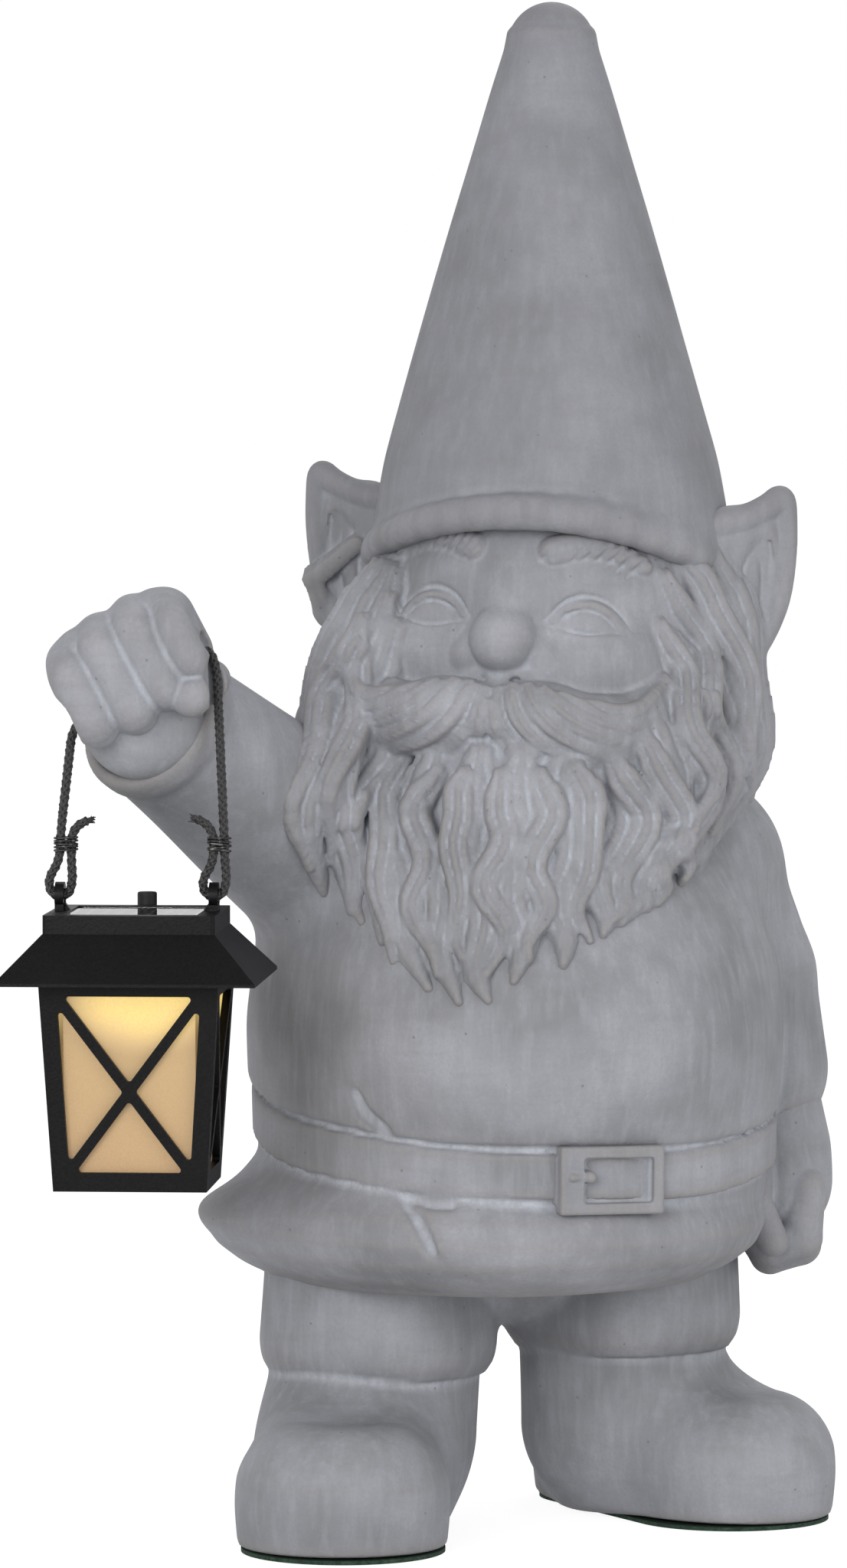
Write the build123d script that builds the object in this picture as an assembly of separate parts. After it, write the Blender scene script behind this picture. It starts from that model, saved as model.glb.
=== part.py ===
from build123d import *
import os
from math import asin, cos, radians, sin, sqrt, tan

# A hollow cast-stone garden gnome that holds up a solar lantern on a braided cord.
# Millimetres, +Z up, the ground at Z = 0, the front towards -Y and +X to the viewer's right.
# The origin is on the ground, under the heel of the figure's right boot.

# ------------------------------------------------------------ driving sizes: body and dress
TORSO_AXIS = Vector(36.0, 0.0)  # the belly's upright axis
FACING = 20.0                   # degrees that belly, belt and buckle turn to the viewer's right
BELLY_RADIUS = 105.5
BELLY_Z = 200.0
CHEST_TOP_Z = 300.0
BELT_Z = 153.0                  # middle of the belt, at the sides
BELT_WIDTH = 19.0
BELT_STAND_OUT = 2.0
BELT_TILT = 4.0                 # degrees: lower in front, under the belly
SKIRT_RADIUS = 113.0
SKIRT_DROP = 29.0               # from the middle of the belt to the skirt's widest ring
SKIRT_SHIFT = -9.0              # the flare leans to the viewer's left
HEM_RISE = 16.0                 # from the skirt's underside to its widest ring
BUCKLE_WIDTH = 42.5
BUCKLE_HEIGHT = 26.0
BUCKLE_BAR = 7.6
BUCKLE_THICKNESS = 5.0
PRONG_DIAMETER = 5.4
CASTING_WALL = 11.0

# ------------------------------------------------------------ driving sizes: legs and boots
# The figure's own right is on the viewer's left.
LEG_RADIUS = 46.5
LEG_RIGHT = Vector(-19.0, -8.0)
LEG_LEFT = Vector(79.0, 30.0)
TROUSER_HEM_Z = 68.0
BOOT_HEIGHT = 57.0
BOOT_ROUND = 26.0
TOE_RADIUS = 42.0
HEEL_RADIUS = 34.0
BOOT_PITCH = 75.0               # from the toe circle's middle to the heel circle's
TOE_RIGHT = Vector(-31.0, -76.0)
TOE_LEFT = Vector(121.5, 12.0)
TURN_RIGHT_BOOT = -3.0          # degrees from straight ahead, to the viewer's right
TURN_LEFT_BOOT = 35.0
PAD_THICKNESS = 1.5
PAD_INSET = 2.5

# ------------------------------------------------------------ driving sizes: head and hat
HEAD_CENTRE = Vector(47.0, 2.0, 345.0)
HEAD_RADIUS = 69.0
HEAD_STRETCH = 10.0             # between the middles of the head's lower and upper balls
HEAD_TURN = -14.0               # degrees to the viewer's right
HEAD_ROLL = 3.5                 # degrees: the viewer's right side is lower
HAT_AXIS_X = 50.0
HAT_BASE_Z = 386.0
HAT_BASE_RADIUS = 68.0
HAT_HEIGHT = 214.0
BRIM_RADIUS = 10.0
EAR_LENGTH = 68.0
EAR_THICKNESS = 13.0
# the beard's tips as (across, height), from the viewer's left to right
BEARD_TIPS = [(-38, 258), (-14, 246), (12, 222), (26, 219), (40, 228), (60, 238), (80, 249), (102, 264)]

# ------------------------------------------------------------ driving sizes: the lantern
LANTERN_GAP = 11.7              # from the belly to the nearest corner of the eaves
LANTERN_BEARING = 39.2          # degrees from -X towards -Y, seen from the belly's axis
LANTERN_TURN = -3.8             # degrees about Z
LANTERN_BASE_Z = 146.0
EAVE_WIDTH = 98.0
EAVE_LIP = 1.2
SHELL_WALL = 2.2
TOP_HEIGHT = 7.0
RIM_WIDTH = 7.5                 # from the panel to the top box's edge
FRAME_HEIGHT = 79.7
FRAME_TOP_WIDTH = 68.0
FRAME_BASE_WIDTH = 58.0
FRAME_WALL = 3.0
STILE_WIDTH = 6.5
TOP_RAIL = 5.7
BASE_RAIL = 7.2
CROSS_BAR = 3.9
WINDOW_ROUND = 2.0
PANE_THICKNESS = 1.2
PANE_LAP = 2.0                  # how far a pane reaches behind its frame
BASE_THICKNESS = 2.4
BASE_POST = 9.0
COLLAR_HEIGHT = 2.8
COLLAR_WALL = 1.8
SEAT_GAP = 0.3                  # between pieces that come apart
COVER_THICKNESS = 2.0
COVER_SINK = 1.4                # the lower cover lies this far up inside the eaves

# ------------------------------------------------------------ driving sizes: solar panel
PANEL_WIDTH = 50.0
PANEL_FIT = 0.2
PANEL_BOARD = 1.4
CELL_THICKNESS = 0.3
CELL_COUNT = 8
CELL_GAP = 1.0
CELL_MARGIN = 2.0
PANEL_GLASS = 1.2
PANEL_SINK = 0.5
SEAL_THICKNESS = 0.6
SEAL_WIDTH = 3.0
PANEL_FLOOR = 1.6
LEAD_DIAMETER = 1.2
LEAD_PITCH = 4.0
LEAD_HOLE = 8.0

# ------------------------------------------------------------ driving sizes: button and switch
BUTTON_DIAMETER = 7.5
BUTTON_RISE = 4.8               # above the top box
BUTTON_TRAVEL = 1.5
BUTTON_FIT = 0.3
BUTTON_BACK = 4.8               # from the top box's rear face to the button's axis
BUTTON_RING = 1.4
SWITCH_WIDTH = 6.0
SWITCH_HEIGHT = 3.4
PLUNGER_DIAMETER = 2.6
PLUNGER_FIT = 0.05
PLUNGER_DEPTH = 2.6

# ------------------------------------------------------------ driving sizes: battery and light
BATTERY_DIAMETER = 14.5
BATTERY_LENGTH = 49.5
BATTERY_NUB_DIAMETER = 5.5
BATTERY_NUB = 1.0
BATTERY_FIT = 0.4
BATTERY_HEADROOM = 1.8
BATTERY_SHIFT = 14.0            # behind the middle of the lantern
CONTACT_THICKNESS = 0.4
CONTACT_WIDTH = 10.0
CONTACT_HEIGHT = 11.0
SPRING_LENGTH = 3.2
SPRING_WIRE = 0.7
SPRING_DIAMETER = 6.4
SPRING_RINGS = 3
CRADLE_WALL = 1.5
CRADLE_HEIGHT = 9.0
DOOR_THICKNESS = 1.3
DOOR_LEDGE = 1.2
BOARD_WIDTH = 22.0
BOARD_THICKNESS = 1.6
BOARD_LIFT = 9.0                # above the lower cover
BOARD_POST = 4.0
LED_DIAMETER = 5.0
LED_LENGTH = 8.6
LED_FIT = 0.1
LED_DROP = 4.5                  # below the lower cover
LED_PIN = 0.5
LED_PIN_PITCH = 2.54
SCREW_DIAMETER = 2.6
SCREW_LENGTH = 5.6
SCREW_HEAD = 5.0
SCREW_HEAD_HEIGHT = 1.4
SCREW_INSET = 11.0              # from the eaves to the upper screws
BOSS_DIAMETER = 6.2
BASE_SCREW_LENGTH = 4.0
BASE_SCREW_DIAMETER = 2.2
BASE_SCREW_HEAD = 0.9            # its head's height, sunk into the base plate

# ------------------------------------------------------------ driving sizes: eyes and cord
EYE_INSET = 3.2                 # from the top box's edge to the middle of the eye
EYE_THICKNESS = 3.4
EYE_RISE = 5.5                  # from the top box up to the middle of the eye
EYE_HOLE = 5.8
EYE_OUTER = 10.6
GUSSET_LENGTH = 2.0
GUSSET_HEIGHT = 4.0
CORD_DIAMETER = 3.8
WHIPPING_HEIGHT = 6.5
WHIPPING_LEFT = -27.1           # from the lantern's middle to each whipping's
WHIPPING_RIGHT = 31.2
WHIPPING_WALL = 1.1
WHIPPING_FIT = 0.12
WHIPPING_Z = 275.5              # middle of both whippings
LEG_PITCH = 4.1                 # between the cord and its tail inside a whipping
TUNNEL_DIAMETER = 5.5
FIST_BEND = 6.5                 # the cord's bend where it leaves the hand

# The cord's route in the lantern's own upright plane: (sideways from the middle, height).
# From the left tail, round the left eye, up through the hand, down and round the right eye.
CORD_ROUTE = [
    (-19.0, 284.2), (-24.9, 282.4), (-25.1, 269.0), (-24.5, 261.8), (-26.1, 255.6),
    (-32.5, 255.8), (-34.1, 262.0), (-29.4, 269.2), (-29.0, 281.2),
    (-23.8, 325.6), (24.0, 350.6), (30.2, 346.6),
    (33.0, 281.4), (33.4, 269.2), (34.1, 262.0), (32.5, 255.6),
    (26.1, 255.8), (24.5, 261.8), (29.3, 269.0), (29.0, 282.8), (23.0, 284.9),
]
HAND_LEFT = 9                   # the route's corner at the hand's left end
HAND_RIGHT = 10                 # the corner at its right end; the next one shares that bend

# ------------------------------------------------------------ places that follow
OUT = "parts"
os.makedirs(OUT, exist_ok=True)

REACH = BELLY_RADIUS + LANTERN_GAP + EAVE_WIDTH / sqrt(2)
LANTERN = TORSO_AXIS - Vector(cos(radians(LANTERN_BEARING)), sin(radians(LANTERN_BEARING))) * REACH
LANTERN_PLACE = Location(LANTERN, (0, 0, LANTERN_TURN))
FRAME_TOP_Z = LANTERN_BASE_Z + FRAME_HEIGHT
COVER_Z = FRAME_TOP_Z + SEAT_GAP
COVER_TOP_Z = COVER_Z + COVER_THICKNESS
EAVE_Z = COVER_Z - COVER_SINK
PANEL_STACK = SEAL_THICKNESS + PANEL_BOARD + CELL_THICKNESS + PANEL_GLASS + PANEL_SINK
FLOOR_UNDER_Z = COVER_TOP_Z + BATTERY_FIT + BATTERY_DIAMETER + BATTERY_HEADROOM
FLOOR_TOP_Z = FLOOR_UNDER_Z + PANEL_FLOOR
TOP_Z = FLOOR_TOP_Z + PANEL_STACK
TOP_BOX_Z = TOP_Z - TOP_HEIGHT
TOP_WIDTH = PANEL_WIDTH + 2 * RIM_WIDTH
SLOPE_FOOT_Z = EAVE_Z + EAVE_LIP
SLOPE = (EAVE_WIDTH - TOP_WIDTH) / 2 / (TOP_BOX_Z - SLOPE_FOOT_Z)   # run for each mm of rise
WALL_RUN = SHELL_WALL * sqrt(1 + SLOPE**2)                        # the sloping wall, level
EYE_X = TOP_WIDTH / 2 - EYE_INSET
EYE_Z = TOP_Z + EYE_RISE
BATTERY_Z = COVER_TOP_Z + BATTERY_FIT + BATTERY_DIAMETER / 2
CONTACT_FACE = (BATTERY_LENGTH + BATTERY_NUB + SPRING_LENGTH) / 2
BOARD_Z = COVER_TOP_Z + BOARD_LIFT
BOARD_BACK_Y = BATTERY_SHIFT - BATTERY_DIAMETER / 2 - BATTERY_FIT - CRADLE_WALL - 1.0
BUTTON_Y = TOP_WIDTH / 2 + BUTTON_BACK
LED_Y = BOARD_BACK_Y - 6.0


def ring_point(index):
    """A route corner as a point of the lantern's frame."""
    side, height = CORD_ROUTE[index]
    return Vector(side, 0, height)


def in_lantern(point):
    """A point of the lantern's own frame in the whole model's frame."""
    return (LANTERN_PLACE * Pos(point)).position


def save(name, shape):
    """Write one node and print what it is."""
    export_step(shape, os.path.join(OUT, name + ".step"))
    print(name, "solids", len(shape.solids()), "volume", round(shape.volume))


def save_in_lantern(name, shape):
    save(name, LANTERN_PLACE * shape)


# ------------------------------------------------------------ shapes used again
def round_cone(start, end, start_radius, end_radius):
    """A limb: two balls joined by the cone that touches both."""
    line = Vector(end) - Vector(start)
    lean = asin((start_radius - end_radius) / line.length)

    def on_start(angle):
        return (start_radius * cos(angle), start_radius * sin(angle))

    def on_end(angle):
        return (end_radius * cos(angle), line.length + end_radius * sin(angle))

    down, up = radians(-90), radians(90)
    outline = [
        ThreePointArc((0, -start_radius), on_start((down + lean) / 2), on_start(lean)),
        Line(on_start(lean), on_end(lean)),
        ThreePointArc(on_end(lean), on_end((lean + up) / 2), (0, line.length + end_radius)),
        Line((0, line.length + end_radius), (0, -start_radius)),
    ]
    limb = revolve(Plane.XZ * make_face(outline), Axis.Z)
    return Plane(origin=start, z_dir=line) * limb


def turned(points, top, bottom):
    """A closed solid of revolution about Z: a spline between two flat ends."""
    outline = [
        Line((0, bottom), points[0]),
        Spline(*points),
        Line(points[-1], (0, top)),
        Line((0, top), (0, bottom)),
    ]
    return revolve(Plane.XZ * make_face(outline), Axis.Z)


def plate(width, depth, low, high, corner=0.0):
    """A flat plate between two heights."""
    outline = RectangleRounded(width, depth, corner) if corner else Rectangle(width, depth)
    return Pos(0, 0, low) * extrude(outline, high - low)


def taper(low_width, high_width, low, high):
    """A square block whose width changes evenly with height."""
    return loft([Pos(0, 0, low) * Rectangle(low_width, low_width),
                 Pos(0, 0, high) * Rectangle(high_width, high_width)])


def rod(diameter, low, high):
    return Pos(0, 0, low) * Cylinder(diameter / 2, high - low, align=(Align.CENTER, Align.CENTER, Align.MIN))


def torso_radius(height):
    """The belly's radius near the beard, as a circle over its widest ring."""
    lift = (height - BELLY_Z) / (CHEST_TOP_Z - BELLY_Z + 35.0)
    return BELLY_RADIUS * sqrt(1 - min(max(lift, 0), 1) ** 2)


# ------------------------------------------------------------ the cast figure
def torso(inset=0.0):
    belly = [
        (BELLY_RADIUS - 5.0 - inset, BELT_Z - 16.0 + inset),
        (BELLY_RADIUS - 4.0 - inset, BELT_Z + 8.0),
        (BELLY_RADIUS - inset, BELLY_Z),
        (BELLY_RADIUS - 12.0 - inset, BELLY_Z + 52.0),
        (BELLY_RADIUS - 52.0 - inset, CHEST_TOP_Z - inset),
    ]
    body = turned(belly, CHEST_TOP_Z - inset, BELT_Z - 16.0 + inset)
    return Pos(TORSO_AXIS) * body


def belt():
    radius = BELLY_RADIUS - 3.5 + BELT_STAND_OUT
    ring = Rot(BELT_TILT, 0, 0) * Cylinder(radius, BELT_WIDTH)
    return Pos(TORSO_AXIS) * Pos(0, 0, BELT_Z) * Rot(0, 0, FACING) * ring


def buckle():
    frame = RectangleRounded(BUCKLE_WIDTH, BUCKLE_HEIGHT, 3.0)
    frame -= Rectangle(BUCKLE_WIDTH - 2 * BUCKLE_BAR, BUCKLE_HEIGHT - 2 * BUCKLE_BAR + 7.0)
    solid = extrude(frame, BUCKLE_THICKNESS, both=True)
    prong = Pos(-BUCKLE_WIDTH / 2 + BUCKLE_BAR + 2.0, 0, -4.0) * extrude(Circle(PRONG_DIAMETER / 2), 7.0)
    front = BELLY_RADIUS - 2.0 + BELT_STAND_OUT
    seat = Pos(TORSO_AXIS) * Pos(0, 0, BELT_Z) * Rot(0, 0, FACING) * Pos(0, -front, -BELT_TILT * 1.6)
    return seat * Rot(90 + BELT_TILT, 0, 0) * (solid + prong)


def skirt():
    widest = BELT_Z - SKIRT_DROP
    hem = [
        (SKIRT_RADIUS - 14.0, widest - HEM_RISE),
        (SKIRT_RADIUS - 3.0, widest - HEM_RISE * 0.6),
        (SKIRT_RADIUS, widest),
        (SKIRT_RADIUS - 6.0, BELT_Z - 13.0),
        (SKIRT_RADIUS - 16.0, BELT_Z),
    ]
    return Pos(TORSO_AXIS) * Pos(SKIRT_SHIFT, 0, 0) * turned(hem, BELT_Z, widest - HEM_RISE)


def leg(foot):
    top = BELT_Z - 10.0
    return Pos(foot) * rod(2 * LEG_RADIUS, TROUSER_HEM_Z, top)


def boot_heel(toe, turn):
    return toe + Vector(-sin(radians(turn)), cos(radians(turn))) * BOOT_PITCH


def sole_outline(toe, turn, inset=0.0):
    circles = [
        Pos(toe) * Circle(TOE_RADIUS - inset),
        Pos(boot_heel(toe, turn)) * Circle(HEEL_RADIUS - inset),
    ]
    return make_hull([edge for circle in circles for edge in circle.edges()])


def boot(toe, turn, ankle):
    foot = Pos(0, 0, PAD_THICKNESS) * extrude(sole_outline(toe, turn), BOOT_HEIGHT - PAD_THICKNESS)
    foot = fillet(foot.edges().group_by(Axis.Z)[-1], min(BOOT_ROUND, HEEL_RADIUS - 4.0))
    shaft = Pos(ankle) * rod(2 * (LEG_RADIUS - 2.5), BOOT_HEIGHT / 2, TROUSER_HEM_Z + 4.0)
    return foot + shaft


def sole_pad(toe, turn):
    return extrude(sole_outline(toe, turn, PAD_INSET), PAD_THICKNESS)


def head(inset=0.0):
    low = HEAD_CENTRE - Vector(0, 0, HEAD_STRETCH / 2)
    high = HEAD_CENTRE + Vector(0, 0, HEAD_STRETCH / 2)
    return round_cone(low, high, HEAD_RADIUS - 1.0 - inset, HEAD_RADIUS - inset)


def hat(inset=0.0):
    crown = [
        (HAT_BASE_RADIUS - inset, inset),
        (HAT_BASE_RADIUS * 0.87 - inset, HAT_HEIGHT * 0.28),
        (HAT_BASE_RADIUS * 0.62 - inset, HAT_HEIGHT * 0.58),
        (HAT_BASE_RADIUS * 0.40 - inset, HAT_HEIGHT * 0.82),
        (HAT_BASE_RADIUS * 0.23 - inset, HAT_HEIGHT * 0.95),
    ]
    if inset:
        crown = crown[:3]
        return Pos(HAT_AXIS_X, 0, HAT_BASE_Z) * turned(crown, HAT_HEIGHT * 0.62, inset)
    cone = turned(crown, HAT_HEIGHT * 0.95, 0)
    tip_radius = crown[-1][0] + 0.6
    tip = Pos(0, 0, HAT_HEIGHT - tip_radius) * Sphere(tip_radius)
    return Pos(HAT_AXIS_X, 0, HAT_BASE_Z) * (cone + tip)


def brim():
    """The hat's rolled edge, a solid puck with a full-round rim."""
    rim = HAT_BASE_RADIUS - 1.0
    edge = [
        (rim - 5.0, -BRIM_RADIUS),
        (rim + 3.0, -BRIM_RADIUS * 0.7),
        (rim + 6.0, 0),
        (rim + 2.0, BRIM_RADIUS * 0.7),
        (rim - 8.0, BRIM_RADIUS),
    ]
    puck = turned(edge, BRIM_RADIUS, -BRIM_RADIUS)
    return Pos(HEAD_CENTRE.X, 2.0, HAT_BASE_Z) * Rot(-6.0, HEAD_ROLL, 0) * puck


def face_point(side, forward, up):
    """A place on the head, measured from its middle, with the head's turn and roll."""
    return (Pos(HEAD_CENTRE) * Rot(0, HEAD_ROLL, HEAD_TURN) * Pos(side, -forward, up)).position


def face():
    nose = round_cone(face_point(0, 66, 20), face_point(0, 78, -2), 8.0, 15.0)
    solid = nose
    for side in (-1, 1):
        solid += round_cone(face_point(side * 14, 66, 42), face_point(side * 46, 52, 44), 8.0, 6.0)
        solid += Pos(face_point(side * 28, 54, 22)) * Sphere(13.5)
        solid += Pos(face_point(side * 34, 48, 0)) * Sphere(20.0)
        solid += round_cone(face_point(side * 6, 74, -20), face_point(side * 38, 64, -28), 11.0, 9.0)
        solid += round_cone(face_point(side * 38, 64, -28), face_point(side * 62, 50, -12), 9.0, 4.0)
    return solid


def ear(side):
    """An upright leaf of stone with its point at the top."""
    half = EAR_LENGTH / 2
    bulge = EAR_LENGTH * 0.2
    leaf = make_face([
        ThreePointArc((0, -half), (side * bulge, 0), (side * bulge * 0.6, half)),
        ThreePointArc((side * bulge * 0.6, half), (-side * bulge * 1.6, 0), (0, -half)),
    ])
    blade = extrude(Plane.XZ * leaf, EAR_THICKNESS / 2, both=True)
    place = (Pos(HEAD_CENTRE) * Rot(0, HEAD_ROLL, 0) * Pos(side * 79.0, -2, 36)).position
    return Pos(place) * Rot(0, HEAD_ROLL, -side * 25.0) * blade


def hair():
    """Side locks from under the brim down to the shoulders."""
    left = round_cone((-18, 2, 372), (-34, -6, 300), 16.0, 20.0)
    right = round_cone((112, 6, 366), (108, -4, 298), 16.0, 20.0)
    return left + right


def beard():
    """Thick locks that fan from the chin over the chest; their tips rest on the belly."""
    solid = round_cone((46, -32, 318), (34, -62, 262), 44.0, 26.0)
    for x, z in BEARD_TIPS:
        beside = x - TORSO_AXIS.X
        y = -sqrt(torso_radius(z) ** 2 - beside**2) + 1.0
        root = (HEAD_CENTRE.X + beside * 0.62, -48 + abs(beside) * 0.25, 308)
        solid += round_cone(root, (x, y, z), 15.0, 5.0)
    return solid


def hanging_arm():
    """The figure's left arm, down by its side, with cuff and hand."""
    sleeve = round_cone((108, 26, 258), (130, 32, 184), 33.0, 32.0)
    cuff = Pos(130, 32, 172) * Rot(0, 8, 0) * Cylinder(33.0, 20.0)
    hand = round_cone((139, 26, 142), (143, 16, 120), 22.0, 20.0)
    thumb = round_cone((126, 2, 136), (136, -6, 112), 9.0, 7.0)
    palm = round_cone((126, 12, 140), (128, 10, 118), 16.0, 12.0)
    return sleeve + cuff + hand + palm + thumb


def fist():
    """The raised hand: a rounded block closed round the cord, with a straight tunnel for it."""
    left, right = ring_point(HAND_LEFT), ring_point(HAND_RIGHT)
    line = right - left
    middle = (left + right) * 0.5
    frame = Plane(origin=middle, x_dir=line, z_dir=Vector(0, -1, 0).cross(line))
    block = Box(line.length - 2.0, 44.0, 46.0)
    block = fillet(block.edges(), 15.0)
    block = frame * Pos(0, 0, 9.0) * block
    tunnel = Plane(origin=middle, z_dir=line) * Cylinder(TUNNEL_DIAMETER / 2, line.length + 60.0)
    return block, tunnel


def raised_arm():
    """The figure's right arm: sleeve, cuff and wrist behind the hanging cord."""
    shoulder = (-30, -6, 258)
    cuff_at = in_lantern(Vector(9.0, 34.0, 317.0))
    wrist = in_lantern(Vector(2.0, 14.0, 334.0))
    sleeve = round_cone(shoulder, cuff_at, 40.0, 31.0)
    rim = Plane(origin=cuff_at, z_dir=cuff_at - Vector(shoulder)) * Pos(0, 0, 8.0) * Cylinder(31.5, 14.0)
    rim = fillet(rim.edges(), 5.0)
    hand = round_cone(cuff_at, wrist, 24.0, 17.0)
    return sleeve + rim + hand


def statue():
    outer = torso() + skirt() + belt() + buckle()
    outer += leg(LEG_RIGHT) + leg(LEG_LEFT)
    outer += boot(TOE_RIGHT, TURN_RIGHT_BOOT, LEG_RIGHT)
    outer += boot(TOE_LEFT, TURN_LEFT_BOOT, LEG_LEFT)
    outer += head() + hat() + brim()
    outer += face() + ear(-1) + ear(1) + hair() + beard()
    block, tunnel = fist()
    outer += hanging_arm() + raised_arm() + LANTERN_PLACE * block
    outer -= LANTERN_PLACE * tunnel
    cavity = torso(CASTING_WALL)
    cavity += head(CASTING_WALL)
    cavity += hat(CASTING_WALL)
    return outer - cavity


# ------------------------------------------------------------ the lantern's top
def roof_half(height):
    """Half the roof's width at a height on its slope."""
    return EAVE_WIDTH / 2 - (height - SLOPE_FOOT_Z) * SLOPE


def screw_places(pitch):
    return [(x * pitch / 2, y * pitch / 2) for x in (-1, 1) for y in (-1, 1)]


def eye(side):
    """A ring on a post, its hole along the lantern's width, with a small gusset inwards."""
    post = Pos(0, 0, TOP_Z - 1.0) * Box(EYE_THICKNESS, EYE_OUTER * 0.8, EYE_RISE + 1.0,
                                        align=(Align.CENTER, Align.CENTER, Align.MIN))
    ring = Pos(0, 0, EYE_Z) * Rot(0, 90, 0) * Cylinder(EYE_OUTER / 2, EYE_THICKNESS)
    hole = Pos(0, 0, EYE_Z) * Rot(0, 90, 0) * Cylinder(EYE_HOLE / 2, 3 * EYE_THICKNESS)
    inner = EYE_THICKNESS / 2
    gusset = make_face(Polyline((inner - 0.5, TOP_Z - 1.0), (inner + GUSSET_LENGTH, TOP_Z - 1.0),
                                (inner + GUSSET_LENGTH, TOP_Z + 0.6), (inner - 0.5, TOP_Z + GUSSET_HEIGHT),
                                close=True))
    gusset = extrude(Plane.XZ * gusset, EYE_THICKNESS / 2, both=True)
    if side > 0:
        gusset = mirror(gusset, Plane.YZ)
    return Pos(side * EYE_X, 0, 0) * (post + ring + gusset - hole)


def lantern_roof():
    lip = plate(EAVE_WIDTH, EAVE_WIDTH, EAVE_Z, SLOPE_FOOT_Z)
    slope = taper(EAVE_WIDTH, TOP_WIDTH, SLOPE_FOOT_Z, TOP_BOX_Z)
    box = plate(TOP_WIDTH, TOP_WIDTH, TOP_BOX_Z, TOP_Z)
    box = fillet(box.edges().filter_by(Axis.Z), 1.5)
    solid = lip + slope + box
    inner_foot = 2 * (roof_half(EAVE_Z) - WALL_RUN)
    cavity_top = 2 * (roof_half(TOP_BOX_Z) - WALL_RUN)
    solid -= taper(inner_foot, cavity_top, EAVE_Z, TOP_BOX_Z)
    solid -= plate(cavity_top, cavity_top, TOP_BOX_Z - 0.01, FLOOR_UNDER_Z)
    recess = PANEL_WIDTH + 2 * PANEL_FIT
    solid -= plate(recess, recess, FLOOR_TOP_Z, TOP_Z + 1.0)
    solid -= Pos(0, LED_Y, 0) * rod(LEAD_HOLE, FLOOR_UNDER_Z - 1.0, FLOOR_TOP_Z + 1.0)
    solid += eye(-1) + eye(1)
    boss_top = COVER_TOP_Z + 4.5
    for x, y in screw_places(EAVE_WIDTH - 2 * SCREW_INSET):
        solid += Pos(x, y, 0) * rod(BOSS_DIAMETER, COVER_TOP_Z, boss_top)
        solid -= Pos(x, y, 0) * rod(SCREW_DIAMETER, COVER_TOP_Z - 1.0, COVER_Z + SCREW_LENGTH)
    ring_top = TOP_BOX_Z - 0.5
    sleeve = Pos(0, BUTTON_Y, 0) * rod(BUTTON_DIAMETER + 2 * BUTTON_FIT + 2 * BUTTON_RING,
                                       TOP_BOX_Z - 6.0, ring_top)
    solid += sleeve
    bore = Pos(0, BUTTON_Y, 0) * rod(BUTTON_DIAMETER + 2 * BUTTON_FIT, COVER_TOP_Z, TOP_Z)
    return solid - bore


def panel_parts():
    """The solar panel from below: seal, board, cells and cover glass, and the two leads."""
    seal_top = FLOOR_TOP_Z + SEAL_THICKNESS
    cell_low = seal_top + PANEL_BOARD
    glass_low = cell_low + CELL_THICKNESS
    seal = plate(PANEL_WIDTH, PANEL_WIDTH, FLOOR_TOP_Z, seal_top)
    seal -= plate(PANEL_WIDTH - 2 * SEAL_WIDTH, PANEL_WIDTH - 2 * SEAL_WIDTH, FLOOR_TOP_Z, seal_top)
    board = plate(PANEL_WIDTH, PANEL_WIDTH, seal_top, cell_low)
    glass = plate(PANEL_WIDTH, PANEL_WIDTH, glass_low, glass_low + PANEL_GLASS)
    span = PANEL_WIDTH - 2 * CELL_MARGIN
    pitch = (span + CELL_GAP) / CELL_COUNT
    cells = [
        Pos(-span / 2 + (pitch - CELL_GAP) / 2 + pitch * n, 0, 0)
        * plate(pitch - CELL_GAP, span, cell_low, glass_low)
        for n in range(CELL_COUNT)
    ]
    leads = [Pos(side * LEAD_PITCH / 2, LED_Y, 0) * rod(LEAD_DIAMETER, BOARD_Z + BOARD_THICKNESS, seal_top)
             for side in (-1, 1)]
    return seal, board, Compound(cells), glass, Compound(leads)


def lower_cover():
    width = 2 * (roof_half(COVER_TOP_Z) - WALL_RUN) - 2 * SEAT_GAP
    solid = plate(width, width, COVER_Z, COVER_TOP_Z)
    collar = FRAME_TOP_WIDTH - 2 * FRAME_WALL - 4 * SEAT_GAP
    solid += plate(collar, collar, COVER_Z - COLLAR_HEIGHT, COVER_Z)
    opening = collar - 2 * COLLAR_WALL
    solid -= plate(opening, opening, COVER_Z - COLLAR_HEIGHT, COVER_Z)
    solid += battery_cradle()
    for x, y in board_post_places():
        solid += Pos(x, y, 0) * rod(BOARD_POST, COVER_TOP_Z, BOARD_Z)
    for x, y in screw_places(EAVE_WIDTH - 2 * SCREW_INSET):
        solid -= Pos(x, y, 0) * rod(SCREW_DIAMETER + 0.4, COVER_Z - 1, COVER_TOP_Z + 1)
    solid -= Pos(0, BATTERY_SHIFT, 0) * door_opening()
    solid -= Pos(0, LED_Y, 0) * rod(LED_DIAMETER + 2 * LED_FIT, COVER_Z - 1, COVER_TOP_Z + 1)
    return solid


def battery_cradle():
    """Walls round the battery: two along it and two behind its contacts."""
    inner_length = 2 * (CONTACT_FACE + CONTACT_THICKNESS)
    inner_width = BATTERY_DIAMETER + 2 * BATTERY_FIT
    outer = Box(inner_length + 2 * CRADLE_WALL, inner_width + 2 * CRADLE_WALL, CRADLE_HEIGHT)
    inner = Box(inner_length, inner_width, CRADLE_HEIGHT)
    lift = COVER_TOP_Z + CRADLE_HEIGHT / 2
    walls = outer - inner
    slot = Pos(0, -inner_width / 2, CRADLE_HEIGHT / 2) * Box(inner_length, 3 * CRADLE_WALL, 4.0)
    return Pos(0, BATTERY_SHIFT, lift) * (walls - slot)


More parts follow.
